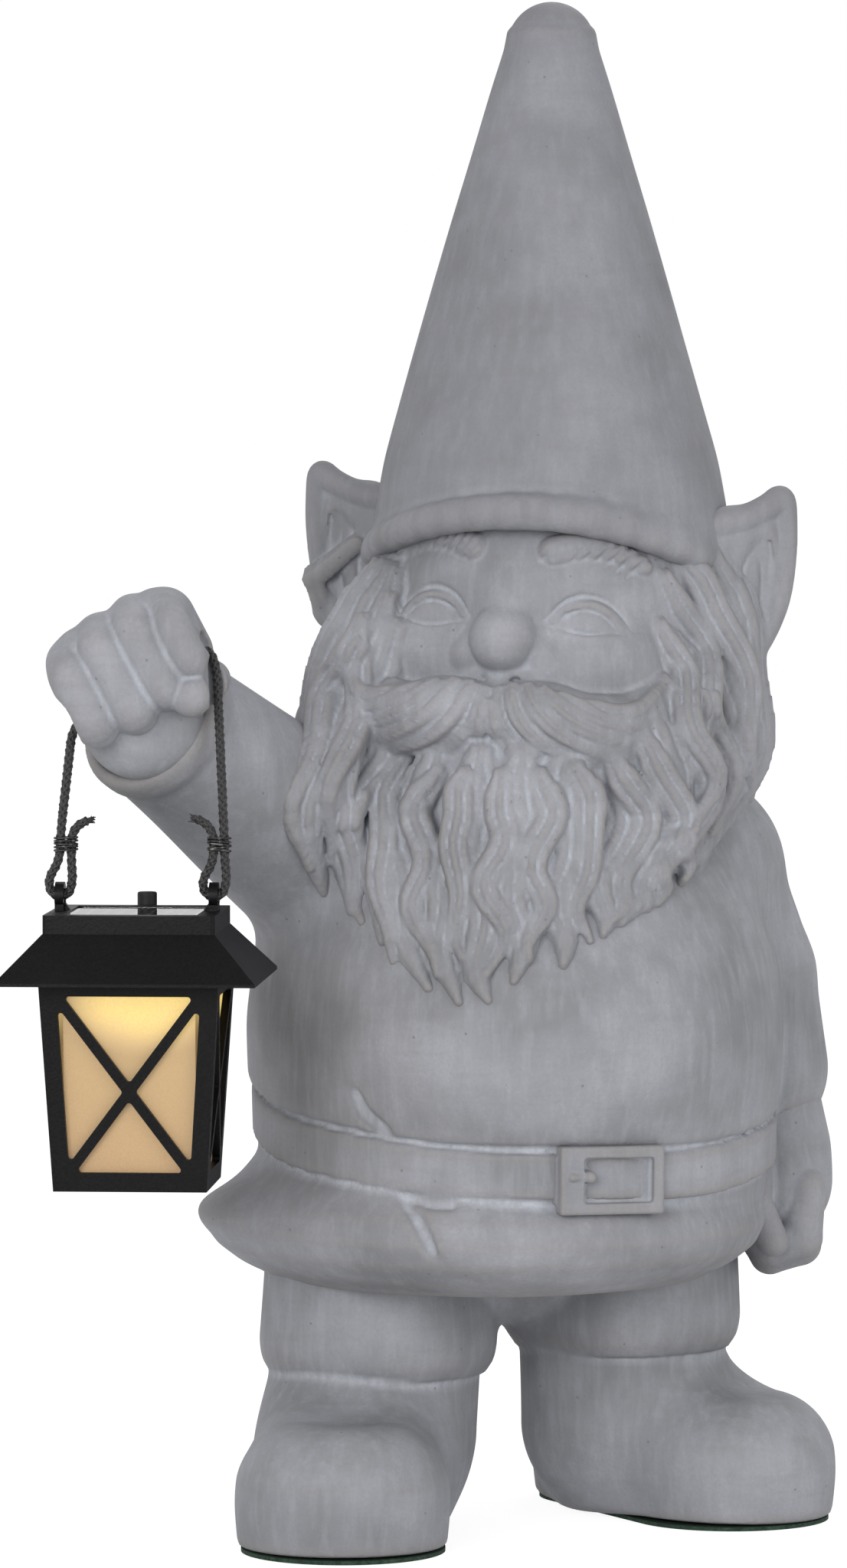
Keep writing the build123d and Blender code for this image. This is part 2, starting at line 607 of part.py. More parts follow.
def board_post_places():
    length = 2 * CONTACT_FACE
    front = BOARD_BACK_Y - BOARD_WIDTH
    return [(x * (length / 2 - 5.0), y) for x in (-1, 1) for y in (front + 4.0, BOARD_BACK_Y - 4.0)]


def door_opening():
    """A through opening for the battery with a ledge above the door."""
    length = BATTERY_LENGTH + BATTERY_NUB + 2 * BATTERY_FIT
    width = BATTERY_DIAMETER + 2 * BATTERY_FIT
    through = plate(length, width, COVER_Z - 1, COVER_TOP_Z + 1)
    door_well = plate(length + 2 * DOOR_LEDGE, width + 2 * DOOR_LEDGE, COVER_Z - 1,
                      COVER_Z + DOOR_THICKNESS + SEAT_GAP)
    return through + door_well


def battery_door():
    length = BATTERY_LENGTH + BATTERY_NUB + 2 * BATTERY_FIT + 2 * DOOR_LEDGE - 2 * SEAT_GAP
    width = BATTERY_DIAMETER + 2 * BATTERY_FIT + 2 * DOOR_LEDGE - 2 * SEAT_GAP
    door = plate(length, width, COVER_Z, COVER_Z + DOOR_THICKNESS, 1.0)
    groove = plate(1.0, width - 6.0, COVER_Z, COVER_Z + 0.4)
    for step in range(-2, 3):
        door -= Pos(length / 2 - 8.0 + step * 2.0, 0, 0) * groove
    return Pos(0, BATTERY_SHIFT, 0) * door


def battery():
    """An AA cell lying along the lantern's width, its nub towards +X."""
    body = Rot(0, 90, 0) * Cylinder(BATTERY_DIAMETER / 2, BATTERY_LENGTH)
    body = fillet(body.edges(), 0.8)
    nub = Rot(0, 90, 0) * Cylinder(BATTERY_NUB_DIAMETER / 2, BATTERY_NUB)
    nub = Pos((BATTERY_LENGTH + BATTERY_NUB) / 2, 0, 0) * nub
    shift = (SPRING_LENGTH - BATTERY_NUB) / 2
    return Pos(shift, BATTERY_SHIFT, BATTERY_Z) * (body + nub)


def contact(side):
    """A strip of plated steel against the cradle's end, its tail soldered to the board."""
    x = side * (CONTACT_FACE + CONTACT_THICKNESS / 2)
    blade = Pos(x, BATTERY_SHIFT, BATTERY_Z) * Box(CONTACT_THICKNESS, CONTACT_WIDTH, CONTACT_HEIGHT)
    tail_from = BOARD_BACK_Y - 4.0
    tail_to = BATTERY_SHIFT
    tail_z = BOARD_Z + BOARD_THICKNESS / 2
    tail = Pos(x, (tail_from + tail_to) / 2, tail_z) * Box(CONTACT_THICKNESS, tail_to - tail_from, 2.6)
    return blade + tail


def spring_contact():
    """The negative contact: its conical spring is drawn as rings joined by a post."""
    solid = contact(-1)
    start = -CONTACT_FACE
    pitch = SPRING_LENGTH / SPRING_RINGS
    for n in range(SPRING_RINGS):
        radius = SPRING_DIAMETER / 2 - 0.5 * n
        place = Pos(start + pitch * (n + 0.5), BATTERY_SHIFT, BATTERY_Z) * Rot(0, 90, 0)
        solid += place * Torus(radius - 0.2, SPRING_WIRE / 2)
    post = Box(SPRING_LENGTH, SPRING_WIRE, SPRING_WIRE)
    solid += Pos(start + SPRING_LENGTH / 2, BATTERY_SHIFT, BATTERY_Z + SPRING_DIAMETER / 2 - 0.8) * post
    return solid


def plate_contact():
    return contact(1)


def circuit_board():
    length = 2 * CONTACT_FACE
    top = BOARD_Z + BOARD_THICKNESS
    board = Pos(0, BOARD_BACK_Y - BOARD_WIDTH / 2, 0) * plate(length, BOARD_WIDTH, BOARD_Z, top)
    for side in (-1, 1):
        board -= Pos(side * LED_PIN_PITCH / 2, LED_Y, 0) * rod(LED_PIN, BOARD_Z - 1, top + 1)
    return board


def led():
    """A round-nosed LED that looks down into the lantern, on two pins from the board."""
    low = COVER_Z - LED_DROP
    high = low + LED_LENGTH
    dome = Pos(0, 0, low + LED_DIAMETER / 2) * Sphere(LED_DIAMETER / 2)
    body = dome + rod(LED_DIAMETER, low + LED_DIAMETER / 2, high)
    flange = rod(LED_DIAMETER + 0.9, COVER_TOP_Z, COVER_TOP_Z + 1.0)
    body += flange
    for side in (-1, 1):
        body += Pos(side * LED_PIN_PITCH / 2, 0, 0) * rod(LED_PIN, high - 0.5, BOARD_Z + BOARD_THICKNESS)
    return Pos(0, LED_Y, 0) * body


def push_switch():
    body = Pos(0, BUTTON_Y, 0) * plate(SWITCH_WIDTH, SWITCH_WIDTH, COVER_TOP_Z, COVER_TOP_Z + SWITCH_HEIGHT)
    top = COVER_TOP_Z + SWITCH_HEIGHT
    return body - Pos(0, BUTTON_Y, 0) * rod(PLUNGER_DIAMETER + 2 * PLUNGER_FIT, top - PLUNGER_DEPTH, top)


def switch_plunger():
    low = COVER_TOP_Z + SWITCH_HEIGHT - PLUNGER_DEPTH + BUTTON_TRAVEL + 0.2
    return Pos(0, BUTTON_Y, 0) * rod(PLUNGER_DIAMETER, low, TOP_Z)


def button_cap():
    """A rubber cap over the plunger."""
    low = COVER_TOP_Z + SWITCH_HEIGHT + BUTTON_TRAVEL + SEAT_GAP
    cap = rod(BUTTON_DIAMETER, low, TOP_Z + BUTTON_RISE)
    cap = fillet(cap.edges().group_by(Axis.Z)[-1], 0.8)
    cap -= rod(PLUNGER_DIAMETER, low, TOP_Z)
    return Pos(0, BUTTON_Y, 0) * cap


def screws(pitch, head_low, head_height, diameter, length):
    """Pan-head screws at the corners of a square, pointing up."""
    one = rod(SCREW_HEAD * diameter / SCREW_DIAMETER, head_low, head_low + head_height)
    one += rod(diameter, head_low + head_height, head_low + head_height + length)
    one -= Pos(0, 0, head_low) * Box(diameter * 1.4, 0.6, 1.2)
    one -= Pos(0, 0, head_low) * Box(0.6, diameter * 1.4, 1.2)
    return Compound([Pos(x, y, 0) * one for x, y in screw_places(pitch)])


# ------------------------------------------------------------ the lantern's lit body
def frame_width(height):
    """The frame's outer width at a height."""
    share = (height - LANTERN_BASE_Z) / FRAME_HEIGHT
    return FRAME_BASE_WIDTH + (FRAME_TOP_WIDTH - FRAME_BASE_WIDTH) * share


def frame_block(inset, low, high):
    return taper(frame_width(low) - 2 * inset, frame_width(high) - 2 * inset, low, high)


def window_outline():
    """One side's window with its crossed bars left in, drawn upright."""
    low, high = LANTERN_BASE_Z + BASE_RAIL, FRAME_TOP_Z - TOP_RAIL
    low_half = frame_width(low) / 2 - STILE_WIDTH
    high_half = frame_width(high) / 2 - STILE_WIDTH
    corners = [(-low_half, low), (low_half, low), (high_half, high), (-high_half, high)]
    opening = make_face(Polyline(*corners, close=True))
    for start, end in ((corners[0], corners[2]), (corners[1], corners[3])):
        middle = ((start[0] + end[0]) / 2, (start[1] + end[1]) / 2)
        angle = (Vector(*end) - Vector(*start)).get_angle(Vector(1, 0))
        length = (Vector(*end) - Vector(*start)).length
        opening -= Pos(*middle) * Rot(0, 0, angle) * Rectangle(2 * length, CROSS_BAR)
    return fillet(opening.vertices(), WINDOW_ROUND * 0.6)


def lantern_frame():
    solid = frame_block(0, LANTERN_BASE_Z, FRAME_TOP_Z) - frame_block(FRAME_WALL, LANTERN_BASE_Z, FRAME_TOP_Z)
    cutter = extrude(Plane.XZ * window_outline(), FRAME_TOP_WIDTH, both=True)
    solid -= cutter
    solid -= Rot(0, 0, 90) * cutter
    posts = LANTERN_BASE_Z + BASE_THICKNESS
    inner = frame_width(LANTERN_BASE_Z) / 2 - FRAME_WALL
    for x in (-1, 1):
        for y in (-1, 1):
            centre = inner - BASE_POST / 2 + 0.3
            block = plate(BASE_POST, BASE_POST, posts, LANTERN_BASE_Z + BASE_RAIL - 0.6)
            solid += Pos(x * centre, y * centre, 0) * block
    for x, y in screw_places(base_screw_pitch()):
        bore = rod(BASE_SCREW_DIAMETER, LANTERN_BASE_Z, LANTERN_BASE_Z + BASE_SCREW_HEAD + BASE_SCREW_LENGTH)
        solid -= Pos(x, y, 0) * bore
    return solid


def base_screw_pitch():
    return FRAME_BASE_WIDTH - 2 * FRAME_WALL - BASE_POST - 1.0


def pane(turn):
    """A frosted pane against the inner face of one side, held under its rails and stiles."""
    low = LANTERN_BASE_Z + BASE_RAIL - PANE_LAP * 0.2
    high = FRAME_TOP_Z - TOP_RAIL + PANE_LAP
    shell = frame_block(FRAME_WALL, low, high) - frame_block(FRAME_WALL + PANE_THICKNESS, low, high)
    half = frame_width(low) / 2 - STILE_WIDTH + PANE_LAP
    slice_box = Pos(0, -FRAME_TOP_WIDTH / 2, (low + high) / 2) * Box(2 * half, FRAME_TOP_WIDTH, high - low)
    return Rot(0, 0, turn) * (shell & slice_box)


def base_plate():
    width = frame_width(LANTERN_BASE_Z) - 2 * FRAME_WALL
    solid = plate(width, width, LANTERN_BASE_Z, LANTERN_BASE_Z + BASE_THICKNESS)
    for x, y in screw_places(base_screw_pitch()):
        through = rod(BASE_SCREW_DIAMETER + 0.4, LANTERN_BASE_Z - 1, LANTERN_BASE_Z + BASE_THICKNESS + 1)
        solid -= Pos(x, y, 0) * through
        head = SCREW_HEAD * BASE_SCREW_DIAMETER / SCREW_DIAMETER + 0.4
        solid -= Pos(x, y, 0) * rod(head, LANTERN_BASE_Z - 1, LANTERN_BASE_Z + BASE_SCREW_HEAD)
    return solid


# ------------------------------------------------------------ the cord
def corner_radii(points):
    """The largest arc that each corner's two runs allow, or the bend of what it goes round."""
    radii = []
    for n in range(1, len(points) - 1):
        before, after = points[n] - points[n - 1], points[n + 1] - points[n]
        turn = before.get_angle(after)
        radius = 0.45 * min(before.length, after.length) / tan(radians(turn) / 2)
        if n in (HAND_LEFT, HAND_RIGHT, HAND_RIGHT + 1):
            radius = min(radius, FIST_BEND)
        radii.append(min(radius, 60.0))
    return radii


def hanging_cord():
    points = [Vector(side, 0, height) for side, height in CORD_ROUTE]
    radii = corner_radii(points)
    print("cord radii", [round(radius, 1) for radius in radii])
    path = FilletPolyline(*points, radius=radii)
    section = Plane(origin=path @ 0, z_dir=path % 0) * Circle(CORD_DIAMETER / 2)
    tube = sweep(section, path)
    expected = section.area * path.length
    print("cord length", round(path.length, 1), "volume ratio", round(tube.volume / expected, 4))
    return tube


def whipping(side):
    """Wire wound round a cord and its tail above an eye, as one oval sleeve."""
    inner_radius = CORD_DIAMETER / 2 + WHIPPING_FIT
    outer_radius = inner_radius + WHIPPING_WALL
    oval = SlotCenterToCenter(LEG_PITCH, 2 * outer_radius) - SlotCenterToCenter(LEG_PITCH, 2 * inner_radius)
    sleeve = extrude(oval, WHIPPING_HEIGHT / 2, both=True)
    middle = WHIPPING_LEFT if side < 0 else WHIPPING_RIGHT
    return Pos(middle, 0, WHIPPING_Z) * sleeve


# ------------------------------------------------------------ write the nodes
save("statue", statue())
save("sole_pad_right", sole_pad(TOE_RIGHT, TURN_RIGHT_BOOT))
save("sole_pad_left", sole_pad(TOE_LEFT, TURN_LEFT_BOOT))

save_in_lantern("lantern_roof", lantern_roof())
panel_seal, panel_board, solar_cells, panel_glass, panel_leads = panel_parts()
save_in_lantern("panel_seal", panel_seal)
save_in_lantern("panel_board", panel_board)
save_in_lantern("solar_cells", solar_cells)
save_in_lantern("panel_glass", panel_glass)
save_in_lantern("panel_leads", panel_leads)
save_in_lantern("lower_cover", lower_cover())
save_in_lantern("battery_door", battery_door())
save_in_lantern("battery", battery())
save_in_lantern("spring_contact", spring_contact())
save_in_lantern("plate_contact", plate_contact())
save_in_lantern("circuit_board", circuit_board())
save_in_lantern("led", led())
save_in_lantern("push_switch", push_switch())
save_in_lantern("switch_plunger", switch_plunger())
save_in_lantern("button_cap", button_cap())
save_in_lantern("cover_screws", screws(EAVE_WIDTH - 2 * SCREW_INSET, COVER_Z - SCREW_HEAD_HEIGHT,
                                       SCREW_HEAD_HEIGHT, SCREW_DIAMETER, SCREW_LENGTH))
save_in_lantern("lantern_frame", lantern_frame())
for name, turn in (("pane_front", 0), ("pane_right", 90), ("pane_back", 180), ("pane_left", 270)):
    save_in_lantern(name, pane(turn))
save_in_lantern("base_plate", base_plate())
save_in_lantern("base_screws", screws(base_screw_pitch(), LANTERN_BASE_Z + 0.1, 0.8,
                                      BASE_SCREW_DIAMETER, BASE_SCREW_LENGTH))
save_in_lantern("hanging_cord", hanging_cord())
save_in_lantern("whipping_left", whipping(-1))
save_in_lantern("whipping_right", whipping(1))
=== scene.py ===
# %% [markdown]
# # A cast-stone garden gnome that holds up a solar lantern
#
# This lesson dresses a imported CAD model. The lantern's plastic parts keep their CAD meshes and get
# real finishes. The stone figure is modelled again here as clay, because a face, a beard and a
# folded tunic are soft shapes that CAD solids only stand in for.

# %% Load the fixed frame
import math

import bpy
import numpy as np
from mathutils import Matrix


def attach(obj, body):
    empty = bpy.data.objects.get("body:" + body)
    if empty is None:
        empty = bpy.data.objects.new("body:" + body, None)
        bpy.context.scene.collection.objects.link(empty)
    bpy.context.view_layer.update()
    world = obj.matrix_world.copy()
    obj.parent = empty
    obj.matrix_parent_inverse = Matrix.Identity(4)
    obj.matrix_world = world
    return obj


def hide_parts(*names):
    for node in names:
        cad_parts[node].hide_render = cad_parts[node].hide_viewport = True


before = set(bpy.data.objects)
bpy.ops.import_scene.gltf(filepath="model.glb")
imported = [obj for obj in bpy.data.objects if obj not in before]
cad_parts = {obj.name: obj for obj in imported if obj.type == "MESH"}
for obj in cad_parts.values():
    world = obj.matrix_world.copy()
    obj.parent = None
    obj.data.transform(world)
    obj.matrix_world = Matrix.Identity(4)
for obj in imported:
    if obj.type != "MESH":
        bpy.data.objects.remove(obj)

import openvdb
from mathutils import Matrix, Vector

bpy.context.view_layer.update()

MM = 0.001


def placed(name, data):
    """An object in the scene that shows some data."""
    made = bpy.data.objects.new(name, data)
    bpy.context.scene.collection.objects.link(made)
    return made


# %% [markdown]
# ## Camera
#
# A long lens from three metres away keeps the figure's proportions calm, as a catalogue picture
# does. The camera sits a little above the middle of the figure and looks slightly down.

# %% Camera
CAMERA_DISTANCE = 3.0
CAMERA_ELEVATION = math.radians(2.8)
AIM = Vector((0, 0, 0.2925))

camera_data = bpy.data.cameras.new("camera")
camera_data.lens = 174.66
camera_data.sensor_width = 36.0
camera = placed("camera", camera_data)
back = Vector((0, -math.cos(CAMERA_ELEVATION), math.sin(CAMERA_ELEVATION)))
camera.location = AIM + back * CAMERA_DISTANCE
camera.rotation_euler = (-back).to_track_quat("-Z", "Y").to_euler()
bpy.context.scene.camera = camera
print("camera at", [round(v, 3) for v in camera.location])

# %% [markdown]
# ## Helpers for materials
#
# A material is a small tree of nodes. One helper adds a node with its settings and links, so each
# material below reads from top to bottom. Colours are written as sRGB hex values, as a paint chart
# gives them, and one function turns them to the linear values that a shader needs.


# %% Material helpers
def linear(code, alpha=1.0):
    """An sRGB hex colour as linear RGBA."""
    channels = [int(code[i:i + 2], 16) / 255 for i in (1, 3, 5)]
    return [c / 12.92 if c <= 0.04045 else ((c + 0.055) / 1.055) ** 2.4 for c in channels] + [alpha]


def feed(tree, node, inputs):
    """Set a node's inputs. A value is a constant, or another node's output to link."""
    for key, value in inputs.items():
        if isinstance(value, bpy.types.NodeSocket):
            tree.links.new(value, node.inputs[key])
        else:
            node.inputs[key].default_value = value


def add_node(tree, kind, inputs=None, **settings):
    """Add one node with its settings and its inputs."""
    made = tree.nodes.new(kind)
    for name, value in settings.items():
        setattr(made, name, value)
    feed(tree, made, inputs or {})
    return made


def calc(tree, operation, first, second=0.0, third=0.0):
    return add_node(tree, "ShaderNodeMath", {0: first, 1: second, 2: third}, operation=operation).outputs[0]


def vector(tree, operation, *values, output=0):
    made = add_node(tree, "ShaderNodeVectorMath", dict(enumerate(values)), operation=operation)
    return made.outputs[output]


def cleared(owner):
    """The tree of a material or a world, with no nodes left in it."""
    owner.use_nodes = True
    owner.node_tree.nodes.clear()
    return owner.node_tree


def new_material(name):
    """An empty material: its tree, its shader and the object's own coordinates."""
    material = bpy.data.materials.new(name)
    tree = cleared(material)
    shader = add_node(tree, "ShaderNodeBsdfPrincipled")
    add_node(tree, "ShaderNodeOutputMaterial", {"Surface": shader.outputs[0]})
    place = add_node(tree, "ShaderNodeTexCoord").outputs["Object"]
    return material, tree, shader, place


def noise(tree, place, size, detail=2.0, stretch=(1, 1, 1), rough=0.5):
    """Noise whose blotches are about size metres wide, stretched along an axis if asked."""
    spread = [1 / (size * s) for s in stretch]
    mapped = add_node(tree, "ShaderNodeMapping", {"Vector": place, "Scale": spread})
    return add_node(tree, "ShaderNodeTexNoise", {"Vector": mapped.outputs[0], "Scale": 1.0,
                                                 "Detail": detail, "Roughness": rough}).outputs["Fac"]


def remap(tree, value, low, high, to_low=0.0, to_high=1.0):
    return add_node(tree, "ShaderNodeMapRange", {"Value": value, "From Min": low, "From Max": high,
                                                 "To Min": to_low, "To Max": to_high}).outputs[0]


def mixed(tree, amount, first, second):
    """Two colours mixed; each is a hex code or a colour output."""
    made = add_node(tree, "ShaderNodeMix", {"Factor": amount}, data_type="RGBA")
    for socket, colour in ((made.inputs[6], first), (made.inputs[7], second)):
        if isinstance(colour, str):
            socket.default_value = linear(colour)
        else:
            tree.links.new(colour, socket)
    return made.outputs[2]


def bump(tree, shader, height, distance, strength):
    made = add_node(tree, "ShaderNodeBump", {"Height": height, "Distance": distance, "Strength": strength})
    feed(tree, shader, {"Normal": made.outputs[0]})


# %% [markdown]
# ## Cast stone
#
# The figure is cement and stone dust cast in a rubber mould, then wiped with a thin pale wash. The
# wash stays in the creases and wears off the high spots, so creases turn whitish and noses and
# knuckles turn a warmer grey. A vertex attribute that says how hollow the surface is drives that
# paint, and it follows the sculpted form at any angle.

# %% Cast stone
STREAK = 0.0045       # width of one stroke of the wiping cloth
MOTTLE = 0.045        # patches where the mix cured lighter or darker
GRIT = 0.0016         # sand grains are about 0.5 mm; drawn three times coarser so that they show


def cast_stone():
    material, tree, shader, place = new_material("cast_stone_washed")
    hollow = add_node(tree, "ShaderNodeAttribute", attribute_name="crease").outputs["Fac"]
    patches = noise(tree, place, MOTTLE, detail=3.0)
    streaks = noise(tree, place, STREAK, detail=3.0, stretch=(1.0, 1.0, 7.0), rough=0.6)
    cross = noise(tree, place, STREAK * 1.3, detail=2.0, stretch=(6.0, 6.0, 1.0), rough=0.6)
    grit = noise(tree, place, GRIT, detail=2.0, rough=0.7)
    colour = mixed(tree, remap(tree, patches, 0.35, 0.65), "#76777B", "#8E8F95")
    colour = mixed(tree, remap(tree, streaks, 0.45, 0.75, 0.0, 0.28), colour, "#A3A6AC")
    colour = mixed(tree, remap(tree, cross, 0.5, 0.75, 0.0, 0.2), colour, "#727173")
    worn = remap(tree, hollow, -0.1, -0.8, 0.0, 0.7)
    colour = mixed(tree, worn, colour, "#827E7C")
    broken = remap(tree, streaks, 0.3, 0.6, 0.55, 1.0)
    wash = remap(tree, hollow, 0.1, 0.9, 0.0, 0.75)
    colour = mixed(tree, calc(tree, "MULTIPLY", wash, broken), colour, "#B0B4BC")
    # painted shade: small dark dots stand for the shadow inside pinholes, which the mesh does not have
    pinhole_shade = add_node(tree, "ShaderNodeTexVoronoi", {"Vector": place, "Scale": 1 / 0.011}).outputs["Distance"]
    colour = mixed(tree, remap(tree, pinhole_shade, 0.035, 0.06, 0.55, 0.0), colour, "#55565A")
    colour = mixed(tree, remap(tree, grit, 0.3, 0.7, 0.0, 0.22), colour, "#6E6E70")
    height = add_node(tree, "ShaderNodeSeparateXYZ", {"Vector": place}).outputs["Z"]
    colour = mixed(tree, remap(tree, height, 0.365, 0.42, 0.0, 0.4), colour, "#626267")
    feed(tree, shader, {"Base Color": colour, "Roughness": 0.72, "Specular IOR Level": 0.3})
    bump(tree, shader, grit, 0.0004, 0.5)
    return material


STONE = cast_stone()
print("material", STONE.name, "has", len(STONE.node_tree.nodes), "nodes")

# %% [markdown]
# ## The cord
#
# One braided nylon cord runs from a tail on the left, round the lantern's left eye, up through the
# tunnel in the raised hand, down to the right eye and round it to a second tail. It is one length
# of limp cord held taut by the lantern. Its line is a NURBS curve through few control points, so it
# bends as a real cord does. The plait is made along points read from that curve.

# %% The cord's line
LANTERN_CENTRE = Vector((-0.108524, -0.117871, 0.0))
LANTERN_TURN = math.radians(-3.8)
CORD_DIAMETER = 3.8 * MM
ROUTE = [
    (-19.0, 284.2), (-24.9, 282.4), (-25.1, 269.0), (-24.5, 261.8), (-26.1, 255.6),
    (-32.5, 255.8), (-34.1, 262.0), (-29.4, 269.2), (-29.0, 281.2),
    (-26.5, 302.5), (-23.8, 325.6), (24.0, 350.6), (30.2, 346.6), (31.2, 323.8),
    (33.0, 281.4), (33.4, 269.2), (34.1, 262.0), (32.5, 255.6),
    (26.1, 255.8), (24.5, 261.8), (29.3, 269.0), (29.0, 282.8), (23.0, 284.9),
]


def from_lantern(side, depth, height):
    """A point of the lantern's own frame, in millimetres, as a place in the whole frame."""
    turn = Matrix.Rotation(LANTERN_TURN, 3, "Z")
    return LANTERN_CENTRE + turn @ Vector((side, depth, height)) * MM


def nurbs_line(name, points):
    """A smooth line with the points as its control points."""
    curve = bpy.data.curves.new(name, "CURVE")
    curve.dimensions = "3D"
    curve.resolution_u = 16
    spline = curve.splines.new("NURBS")
    spline.points.add(len(points) - 1)
    for point, place in zip(spline.points, points):
        point.co = (*place, 1.0)
    spline.order_u = 3
    spline.use_endpoint_u = True
    return placed(name, curve)


def read_line(line):
    """The points of a curve that has no bevel."""
    graph = bpy.context.evaluated_depsgraph_get()
    mesh = bpy.data.meshes.new_from_object(line.evaluated_get(graph))
    points = [v.co.copy() for v in mesh.vertices]
    bpy.data.meshes.remove(mesh)
    return points


cord_line = nurbs_line("cord_line", [from_lantern(side, 0.0, height) for side, height in ROUTE])
cord_path = read_line(cord_line)
cord_length = sum((b - a).length for a, b in zip(cord_path, cord_path[1:]))
bpy.data.objects.remove(cord_line)
print("cord line:", len(cord_path), "points,", round(cord_length, 4), "m")

# %% [markdown]
# ## Clay
#
# A sculptor builds a figure by adding and taking away lumps of clay and smoothing where they meet.
# The same can be done with a grid of numbers: each cell holds how far it lies outside the surface,
# in millimetres. Adding a lump takes the smaller of two distances, with a soft fillet where they
# meet. OpenVDB then skins the place where the distance is zero with even quads. This suits hair and
# folds, which would take a very dense and tangled hand-built mesh.

# %% The clay block
FAR = 14.0            # clay farther than this from the surface is simply empty
COARSER = 1
BAND = 4              # cells on each side of the surface that the skin reads


class Clay:
    """A block of modelling clay on a grid; every size is in millimetres."""

    def __init__(self, low, high, cell):
        self.cell = cell * COARSER
        self.low = np.array(low, np.float32)
        self.count = np.ceil((np.array(high) - self.low) / self.cell).astype(int) + 1
        self.depth = np.full(self.count, FAR, np.float32)

    def window(self, low, high, margin):
        """The part of the grid round a lump: its slices and its open coordinate arrays."""
        first = np.floor((np.array(low) - margin - self.low) / self.cell).astype(int)
        last = np.ceil((np.array(high) + margin - self.low) / self.cell).astype(int) + 1
        first, last = np.clip(first, 0, self.count), np.clip(last, 0, self.count)
        slices = tuple(slice(a, b) for a, b in zip(first, last))
        x, y, z = [self.low[i] + self.cell * np.arange(first[i], last[i], dtype=np.float32) for i in range(3)]
        return slices, x[:, None, None], y[None, :, None], z[None, None, :]

    def add(self, lump, blend=3.0):
        form, low, high = lump
        slices, x, y, z = self.window(low, high, blend + 3 * self.cell + 2.0)
        self.join(slices, form(x, y, z), blend)

    def join(self, slices, new, blend, sign=1):
        """Add a field of distances, or with a sign of -1 keep only what it leaves."""
        old = self.depth[slices]
        share = np.clip(0.5 + sign * 0.5 * (old - new) / blend, 0, 1)
        self.depth[slices] = old + share * (new - old) - sign * blend * share * (1 - share)

    def cut(self, lump, blend=1.5):
        form, low, high = lump
        slices, x, y, z = self.window(low, high, blend + 3 * self.cell + 2.0)
        self.join(slices, -form(x, y, z), blend, sign=-1)

    def rope(self, points, radii, blend):
        """Limbs along a line, with a radius for each of its points."""
        for i in range(len(points) - 1):
            self.add(limb(points[i], points[i + 1], radii[i], radii[i + 1]), blend)

    def blank(self):
        """An empty block on the same grid."""
        return Clay(self.low, self.low + (self.count - 1) * self.cell, self.cell / COARSER)

    def merge(self, other, blend):
        """Join all of another block on the same grid."""
        self.join(tuple(slice(0, n) for n in self.count), other.depth, blend)

    def groove(self, points, width, deep):
        """Press a round tool along a line on the surface, deepest in the middle of the line."""
        points = smooth_line(points, 6)
        count = len(points)
        size = [max(width * math.sin(math.pi * (j + 0.2) / count) ** 0.5, 0.25) for j in range(count)]
        for i in range(count - 1):
            self.cut(limb(points[i], points[i + 1], size[i], size[i + 1]), deep)

    def lock(self, points, outward, widths, thick, ridges=3, furrow=1.4, blend=1.2):
        """A lock of hair: a flat tapering band with combed ridges that follows a line."""
        points = np.array(points, np.float32)
        reach = max(widths) + 4 * self.cell + blend
        slices, x, y, z = self.window(points.min(0), points.max(0), reach)
        buffer = np.full([s.stop - s.start for s in slices], FAR, np.float32)
        for i in range(len(points) - 1):
            a, b = points[i], points[i + 1]
            run = b - a
            length = float(np.linalg.norm(run)) + 1e-6
            along = run / length
            normal = np.array(outward[i], np.float32)
            normal = normal - along * float(normal @ along)
            normal /= np.linalg.norm(normal)
            side = np.cross(along, normal)
            part, px, py, pz = self.window(np.minimum(a, b), np.maximum(a, b), reach)
            inner = tuple(slice(p.start - s.start, p.stop - s.start) for p, s in zip(part, slices))
            qx, qy, qz = px - a[0], py - a[1], pz - a[2]
            t = (qx * along[0] + qy * along[1] + qz * along[2]) / length
            h = np.clip(t, 0, 1)
            wide = widths[i] + (widths[i + 1] - widths[i]) * h
            u = (qx * side[0] + qy * side[1] + qz * side[2]) / wide
            flat = thick * (0.35 + 0.65 * wide / max(widths))
            v = (qx * normal[0] + qy * normal[1] + qz * normal[2]) / flat
            w = (t - h) * length / wide
            d = (np.sqrt(u * u + v * v + w * w) - 1) * np.minimum(flat, wide)
            comb = 1 - np.abs(np.cos(0.5 * math.pi * ridges * np.clip(u, -1, 1)))
            fine = 1 - np.abs(np.cos(0.5 * math.pi * (3 * ridges + 1) * np.clip(u, -1, 1)))
            scale = wide / max(widths)
            d = d + (furrow * comb + 0.22 * furrow * fine) * scale
            buffer[inner] = np.minimum(buffer[inner], d)
        self.join(slices, buffer, blend)

    def sample(self, field, places):
        """The field's value at places in millimetres, read between cells."""
        where = (np.asarray(places, np.float32) - self.low) / self.cell
        where = np.clip(where, 0, self.count - 1.001)
        base = where.astype(int)
        part = where - base
        total = np.zeros(len(base), np.float32)
        for corner in range(8):
            step = np.array([corner >> 2 & 1, corner >> 1 & 1, corner & 1])
            weight = np.prod(np.where(step, part, 1 - part), axis=1)
            i, j, k = (base + step).T
            total += weight * field[i, j, k]
        return total

    def touch(self, start, direction, reach=260.0):
        """Where a straight poke from outside first meets the clay, or None."""
        steps = np.arange(0, reach, 0.5, dtype=np.float32)
        line = np.array(start, np.float32) + steps[:, None] * np.array(direction, np.float32)
        inside = np.nonzero(self.sample(self.depth, line) < 0)[0]
        return line[inside[0]] if len(inside) else None


